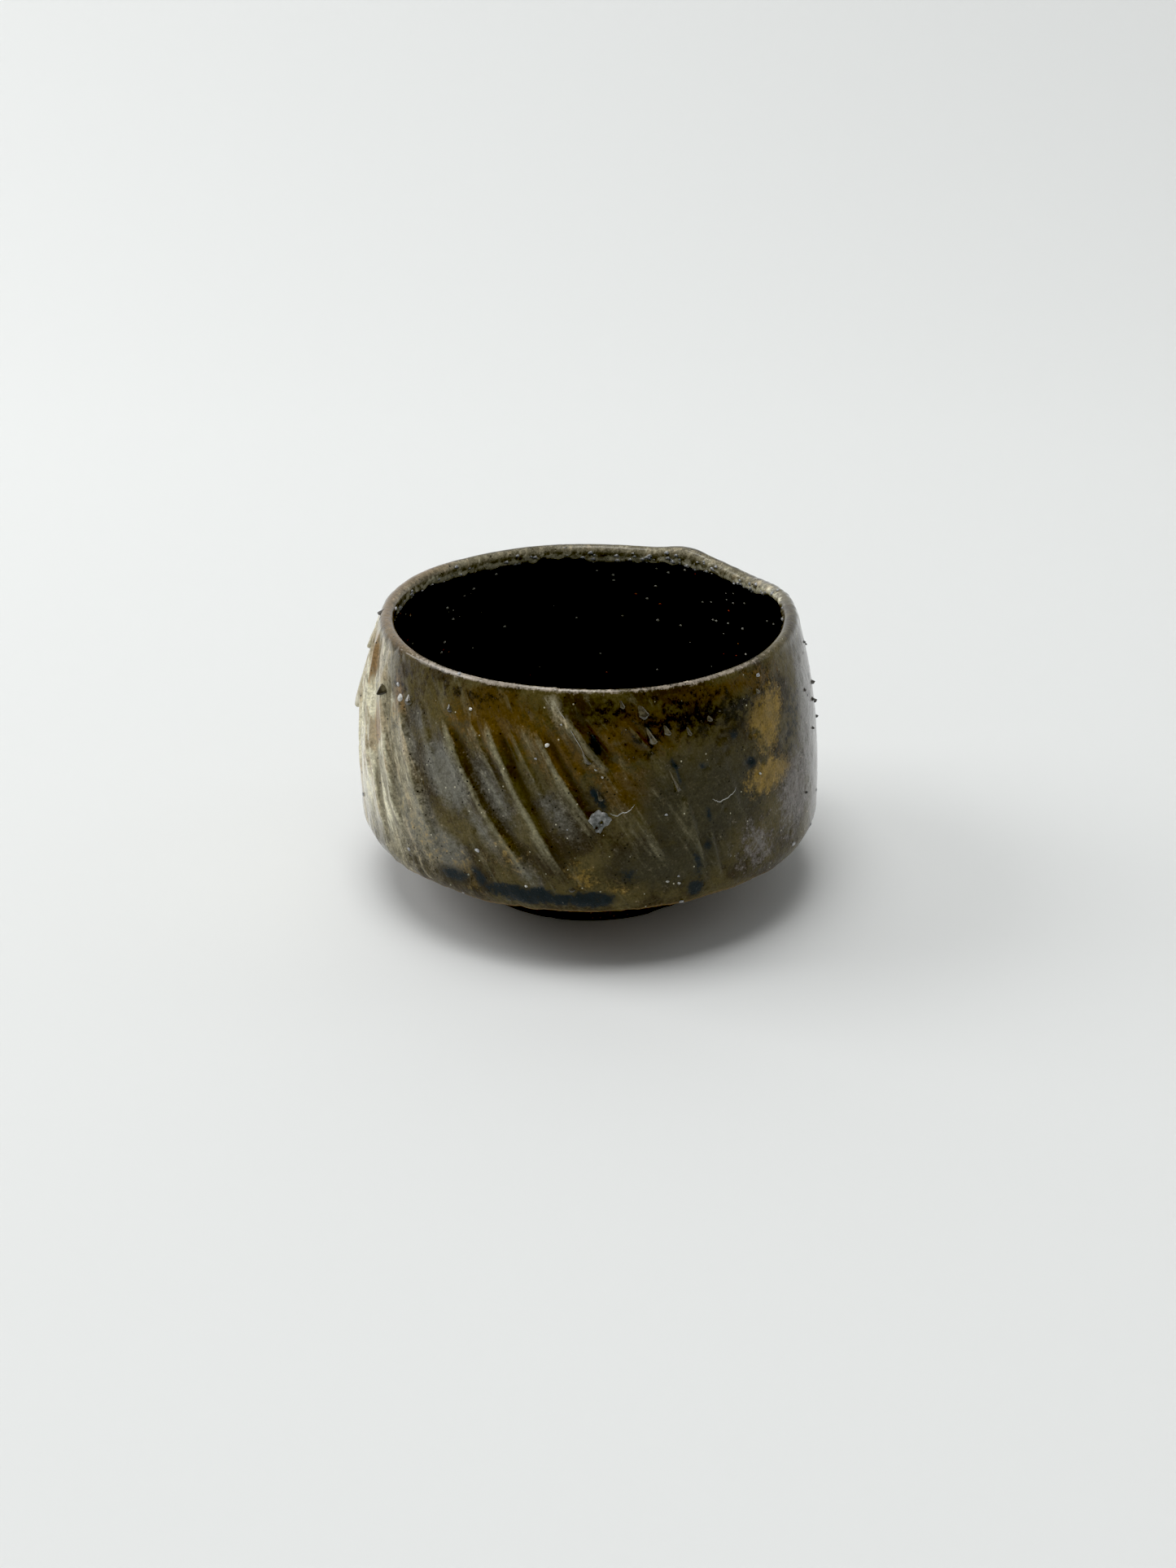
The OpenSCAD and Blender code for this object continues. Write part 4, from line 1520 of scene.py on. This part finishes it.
@dataclass(frozen=True)
class Bead:
    """A drop of glass or a stone that stands out of the jacket.

    Args:
        azimuth: Azimuth of its middle.
        height: Height of its middle.
        radius: Half its width.
        rise: How far it stands out.
        tail: Length of the run above it, in radii.
        droop: How far it hangs down, as a share of its rise.
        lumpy: How uneven its outline is.
    """

    azimuth: float
    height: float
    radius: float
    rise: float
    tail: float = 0.0
    droop: float = 0.0
    lumpy: float = 0.15

    def skin(self, form: BowlForm, seat: Callable[[Array, Array], Array], seed: int) -> Skin:
        """The bead's closed skin.

        Args:
            form: The bowl's form.
            seat: Height of the glaze off the even form, at azimuths and heights.
            seed: Number of its own unevenness.

        Returns:
            The skin, its base sunk under the glaze.
        """
        rho, theta = polar(10, 24)
        flat = np.column_stack([(rho * np.cos(theta)).ravel(), (rho * np.sin(theta)).ravel(),
                                np.zeros(rho.size)])
        wave = 1 + self.lumpy * noise(flat * 1.4 + seed * 3.1, 1.0, seed).reshape(rho.shape)
        across = rho * np.cos(theta) * wave * self.radius
        along = rho * np.sin(theta) * wave * self.radius
        narrow = np.where(along > 0, 1 - min(self.tail, 0.7) * np.clip(along / self.radius, 0, 1) ** 0.7, 1)
        along = np.where(along > 0, along * (1 + self.tail), along)
        dome = np.sqrt(np.clip(1 - rho ** 2, 0, 1))
        dome = dome * (1 + 0.5 * self.lumpy * noise(flat * 2.0 + seed, 1.0, seed + 1).reshape(rho.shape))
        fall = np.where(along > 0, 1 - 0.75 * np.clip(along / (self.radius * (1 + self.tail)), 0, 1), 1)
        sink = 0.35
        off = (self.rise + sink) * dome * fall - sink
        z = self.height + along - self.droop * np.maximum(off, 0)
        r = form.wall_radius(z)
        a = self.azimuth + np.degrees(across * narrow / r) - SWEEP_BACK * np.maximum(along, 0)
        seat_h = seat(a.ravel(), z.ravel()).reshape(r.shape)
        return set_in(form, a, r + seat_h + off, z, (r + seat_h)[-1:], r[0, 0])


DROPS = (
    Bead(13.0, 64.4, 1.5, 1.3, 0.5, 0.2), Bead(14.9, 58.2, 1.1, 1.2, 2.6, 0.3),
    Bead(18.7, 59.7, 1.1, 1.1, 0.6, 0.2), Bead(20.6, 46.4, 0.8, 1.1, 6.0, 0.3),
    Bead(-0.6, 54.2, 1.1, 0.8, 1.6), Bead(-51.0, 59.6, 1.2, 0.9, 0.5), Bead(2.6, 45.4, 0.8, 0.5, 2.6),
    Bead(24.5, 58.5, 0.7, 0.7, 2.0, 0.2), Bead(8.0, 66.5, 0.8, 0.7, 1.2, 0.2),
    Bead(-63.5, 58.0, 1.0, 0.9, 1.2, 0.3), Bead(-36.5, 61.5, 0.9, 0.5, 0.8),
    Bead(-4.0, 22.9, 0.8, 0.5, 0.2), Bead(30.5, 60.5, 0.8, 0.6, 0.4), Bead(47.0, 63.0, 0.7, 0.5, 0.6),
    Bead(-112, 55, 1.3, 1.2, 2.6, 0.2), Bead(-140, 47, 1.2, 1.3, 3.5, 0.2),
    Bead(-168, 56, 1.2, 1.1, 2.4, 0.2), Bead(152, 42, 1.2, 1.3, 3.6, 0.2),
    Bead(117, 56, 1.1, 1.1, 2.2, 0.2), Bead(135, 60, 0.9, 0.9, 1.2, 0.2),
)
RUNS = (
    Bead(-91, 45.5, 1.8, 2.2, 10.0, 0.9), Bead(-84, 62.5, 1.3, 1.2, 4.2, 0.4),
    Bead(-69, 44.0, 1.0, 0.9, 7.0, 0.3), Bead(-99, 38.0, 1.3, 1.4, 12.0, 0.5),
    Bead(-108, 50.0, 1.4, 1.5, 9.0, 0.5),
)
PEARLS = (
    Bead(-54.8, 59.2, 1.0, 0.6, 0.1), Bead(-9.9, 57.4, 0.55, 0.5), Bead(18.0, 23.6, 0.45, 0.4),
    Bead(20.8, 22.7, 0.45, 0.4), Bead(1.4, 52.3, 0.4, 0.4), Bead(2.9, 50.6, 0.35, 0.35),
    Bead(44.5, 44.0, 0.4, 0.35), Bead(-30.5, 62.8, 0.5, 0.4), Bead(-14.5, 23.0, 0.45, 0.4),
    Bead(68, 33, 0.4, 0.3), Bead(-132, 31, 0.8, 0.6), Bead(171, 51, 0.9, 0.6), Bead(104, 33, 0.7, 0.5),
    Bead(-95, 37, 0.7, 0.5),
)
GRAINS = (
    Bead(84, 52.5, 0.75, 0.9, 0, 0, 0.5), Bead(88, 46, 0.7, 0.8, 0, 0, 0.5),
    Bead(92, 40, 0.8, 1.0, 0, 0, 0.5), Bead(79, 50, 0.6, 0.6, 0.3, 0, 0.5),
    Bead(72, 55, 0.55, 0.5, 0.8, 0, 0.5), Bead(96, 58, 0.7, 0.8, 0, 0, 0.5),
    Bead(66, 31, 0.5, 0.5, 0, 0, 0.5), Bead(-88, 69, 0.7, 0.9, 0, 0, 0.5),
    Bead(101, 30, 0.7, 0.8, 0, 0, 0.5), Bead(124, 44, 0.75, 0.8, 0, 0, 0.5),
    Bead(86, 62, 0.5, 0.5, 0.5, 0, 0.5), Bead(75, 44, 0.45, 0.4, 1.0, 0, 0.5),
)


HAIRLINES = (
    ((4.6, 41.8), (6.2, 41.3), (7.3, 42.0), (8.6, 42.3), (10.2, 43.7)),
    ((29.5, 41.8), (31.5, 40.7), (34.0, 41.0), (36.5, 42.9)),
    ((-8.0, 66.0), (-5.0, 62.8), (-2.2, 58.2), (-0.8, 55.4)),
)


@dataclass
class KilnMarks:
    """What the firing leaves on the jacket: drops, stones, grit and the pale lozenge."""

    form: BowlForm
    jacket: AshJacket

    def seat(self, a: Array, z: Array) -> Array:
        """Height of the jacket off the even form, at azimuths and heights."""
        r = self.form.wall_radius(z)
        height, _ = self.jacket.relief(place(a, r, z), turn(a), z, r, np.ones(len(a)))
        return height

    def beads(self, beads: Sequence[Bead], seed: int) -> Skin:
        """Several beads as one skin."""
        return Skin.joined([b.skin(self.form, self.seat, seed + i) for i, b in enumerate(beads)])

    def build(self) -> None:
        """Makes the drops, the pearls, the lozenge and the grit."""
        fit("glaze_drops_fired", self.beads(DROPS, 101).mesh("drops"), OLIVE_DROP,
            ["glaze_drops"])
        fit("pearls", self.beads(PEARLS, 201).mesh("pearls"), PEARL, ["feldspar_stones"])
        fit("kiln_grains", self.beads(GRAINS, 301).mesh("grains"), GRIT, ["kiln_grit"])
        fit("glaze_runs", self.beads(RUNS, 151).mesh("runs"), RUN)
        lines = [self.hairline(path) for path in HAIRLINES]
        fit("hairlines", Skin.joined(lines).mesh("hairlines"), PEARL)
        fit("lozenge_stone", self.lozenge().mesh("lozenge"), LILAC)

    def hairline(self, path: Sequence[tuple[float, float]], thick: float = 0.13) -> Skin:
        """A pale thread of melted ash.

        Args:
            path: Azimuths and heights that it passes through.
            thick: Half its thickness at the middle.

        Returns:
            The thread's closed skin.
        """
        steps, sides = 12 * (len(path) - 1), 6
        t = np.linspace(0, len(path) - 1, steps)
        a, z = (np.interp(t, np.arange(len(path)), values) for values in zip(*path))
        z = z + 0.25 * noise(np.column_stack([t, t, t]) * 3.0, 1.0, 501, 2)
        r = self.form.wall_radius(z)
        r = r + self.seat(a, z)
        size = thick * np.sin(np.pi * np.linspace(0.02, 0.98, steps)) ** 0.5
        ring = np.arange(sides) * 2 * math.pi / sides
        zz = z[:, None] + size[:, None] * np.cos(ring)
        rr = r[:, None] + size[:, None] * np.sin(ring)
        aa = np.broadcast_to(a[:, None], zz.shape)
        ends = [np.repeat(np.stack([a[i], r[i], z[i]])[:, None, None], sides, 2) for i in (0, -1)]
        return thrown(self.form, *np.concatenate([ends[0], np.stack([aa, rr, zz]), ends[1]], axis=1))

    def lozenge(self, azimuth: float = 2.4, height: float = 40.4, half_w: float = 3.0,
                half_h: float = 3.7) -> Skin:
        """The flat melted stone at the front: a ragged lozenge with a pitted face.

        Args:
            azimuth: Azimuth of its middle.
            height: Height of its middle.
            half_w: Half its width.
            half_h: Half its height.

        Returns:
            The stone's closed skin.
        """
        rho, theta = polar(16, 64)
        blunt = np.where(np.sin(theta) > 0, 1.25, 1.0)
        reach = 1 / (np.abs(np.cos(theta)) ** blunt + np.abs(np.sin(theta)) ** blunt) ** (0.95 / blunt)
        rim = np.column_stack([np.cos(theta.ravel()), np.sin(theta.ravel()), np.zeros(theta.size)])
        reach *= 1 + 0.34 * noise(rim * 1.9, 1.0, 401, 3).reshape(theta.shape)
        reach *= np.where(np.sin(theta) > 0, 0.72, 1.0) ** np.abs(np.sin(theta))
        across, along = rho * reach * np.cos(theta) * half_w, rho * reach * np.sin(theta) * half_h
        spots = np.column_stack([across.ravel(), along.ravel(), np.zeros(rho.size)])
        face = 0.45 + 0.30 * noise(spots, 1.6, 402, 2).reshape(rho.shape)
        face -= 0.5 * smooth(0.35, 0.7, noise(spots, 1.1, 403)).reshape(rho.shape)
        off = face * smooth(1.0, 0.8, rho) - 0.3 * smooth(0.8, 1.0, rho)
        z = height + along
        r = self.form.wall_radius(z)
        a = azimuth + np.degrees(across / r)
        seat = self.seat(a.ravel(), z.ravel()).reshape(r.shape)
        return set_in(self.form, a, r + seat + off, z, r[-1:], r[0, 0])


# ---------------------------------------------------------------- stage, lights and camera

@dataclass(frozen=True)
class SoftLight:
    """A soft rectangular light.

    Args:
        name: Its name.
        place_at: Where it hangs, in metres.
        aim: The point that it faces.
        sides: Its two sides.
        watts: Its power.
    """

    name: str
    place_at: tuple[float, float, float]
    aim: tuple[float, float, float]
    sides: tuple[float, float]
    watts: float

    def hang(self) -> None:
        """Hangs the light."""
        lamp = bpy.data.lights.new(self.name, "AREA")
        lamp.shape, lamp.energy = "RECTANGLE", self.watts
        lamp.size, lamp.size_y = self.sides
        holder = put(self.name, lamp)
        holder.location = self.place_at
        towards = Vector(self.aim) - Vector(self.place_at)
        holder.rotation_euler = towards.to_track_quat("-Z", "Y").to_euler()


LIGHTS = (
    SoftLight("overhead", (-0.30, -0.10, 2.7), (0.0, 0.0, 0.0), (1.5, 1.5), 38.0),
    SoftLight("left_window", (-1.4, 0.2, 1.1), (0.0, 0.0, 0.04), (1.0, 1.0), 11.5),
    SoftLight("right_window", (1.4, 0.3, 0.8), (0.0, 0.0, 0.04), (0.5, 1.0), 1.2),
)


@dataclass(frozen=True)
class Studio:
    """Pale seamless sweep, soft light and the camera. Lengths are in metres, but for the lens.

    Args:
        paper: Colour of the sweep.
        sky: Colour of the even light from all round.
        sky_strength: Its strength.
        sweep_start: Where the sweep begins to rise behind the bowl.
        sweep_r: Radius of its bend.
        half_width: Half its width.
        near: Its front edge.
        top: Its height.
        eye: Where the camera stands.
        tilt: How far the camera looks down, in radians.
        lens: Focal length, in millimetres.
        sensor: Width of the sensor, in millimetres.
        veil: Light that the picture's darkest tone leaves out, by channel.
    """

    paper: Colour = (0.80, 0.81, 0.80)
    sky: Colour = (0.95, 0.98, 1.0)
    sky_strength: float = 0.24
    sweep_start: float = 0.42
    sweep_r: float = 0.8
    half_width: float = 4.0
    near: float = -9.0
    top: float = 3.0
    eye: tuple[float, float, float] = (-0.00036, -0.4392, 0.2340)
    tilt: float = 0.45
    lens: float = 44.0
    sensor: float = 36.0
    veil: Colour = (0.014, 0.014, 0.016)

    def camera(self) -> None:
        """Places the camera in front of the bowl, looking down on it."""
        made = bpy.data.cameras.new("camera")
        made.lens, made.sensor_width = self.lens, self.sensor
        made.clip_start, made.clip_end = 0.01, 50.0
        holder = put("camera", made)
        holder.location = self.eye
        holder.rotation_euler = (math.pi / 2 - self.tilt, 0.0, 0.0)
        bpy.context.scene.camera = holder

    def build(self) -> None:
        """Makes the sweep, the lights and the sky."""
        self.sweep()
        for light in LIGHTS:
            light.hang()
        self.room()

    def sweep(self) -> None:
        """Makes the sheet of paper that the bowl stands on and that rises behind it."""
        steps = 24
        line = [(self.near, 0.0)] + [
            (self.sweep_start + self.sweep_r * math.sin(math.pi / 2 * i / steps),
             self.sweep_r * (1 - math.cos(math.pi / 2 * i / steps))) for i in range(steps + 1)]
        line.append((line[-1][0], self.top))
        verts = [(x, y, z) for y, z in line for x in (-self.half_width, self.half_width)]
        faces = [(2 * i, 2 * i + 1, 2 * i + 3, 2 * i + 2) for i in range(len(line) - 1)]
        mesh = bpy.data.meshes.new("sweep")
        mesh.from_pydata(verts, [], faces)
        for face in mesh.polygons:
            face.use_smooth = True
        paper = bpy.data.materials.new("paper")
        paper.use_nodes = True
        shader = paper.node_tree.nodes["Principled BSDF"]
        shader.inputs["Base Color"].default_value = (*self.paper, 1.0)
        shader.inputs["Roughness"].default_value = 0.9
        shader.inputs["Specular IOR Level"].default_value = 0.1
        mesh.materials.append(paper)
        sweep = put("sweep", mesh)

    def room(self) -> None:
        """Sets the even light from all round and the picture's darkest tone."""
        world = bpy.data.worlds.new("room")
        world.use_nodes = True
        room = world.node_tree.nodes["Background"]
        room.inputs["Color"].default_value = (*self.sky, 1.0)
        room.inputs["Strength"].default_value = self.sky_strength
        bpy.context.scene.world = world
        view = bpy.context.scene.view_settings
        view.view_transform = "Standard"
        view.use_curve_mapping = True
        view.curve_mapping.black_level = self.veil
        view.curve_mapping.update()


def main() -> None:
    """Builds the bowl and its studio."""
    logging.basicConfig(level=logging.INFO, format="%(message)s")
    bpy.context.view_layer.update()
    studio = Studio()
    studio.camera()
    form = BowlForm.from_frame()
    ThrownBody(form).build()
    jacket = AshJacket(form)
    jacket.build()
    BlackLining(form).build()
    KilnMarks(form, jacket).build()
    studio.build()


if __name__ == "__main__":
    main()
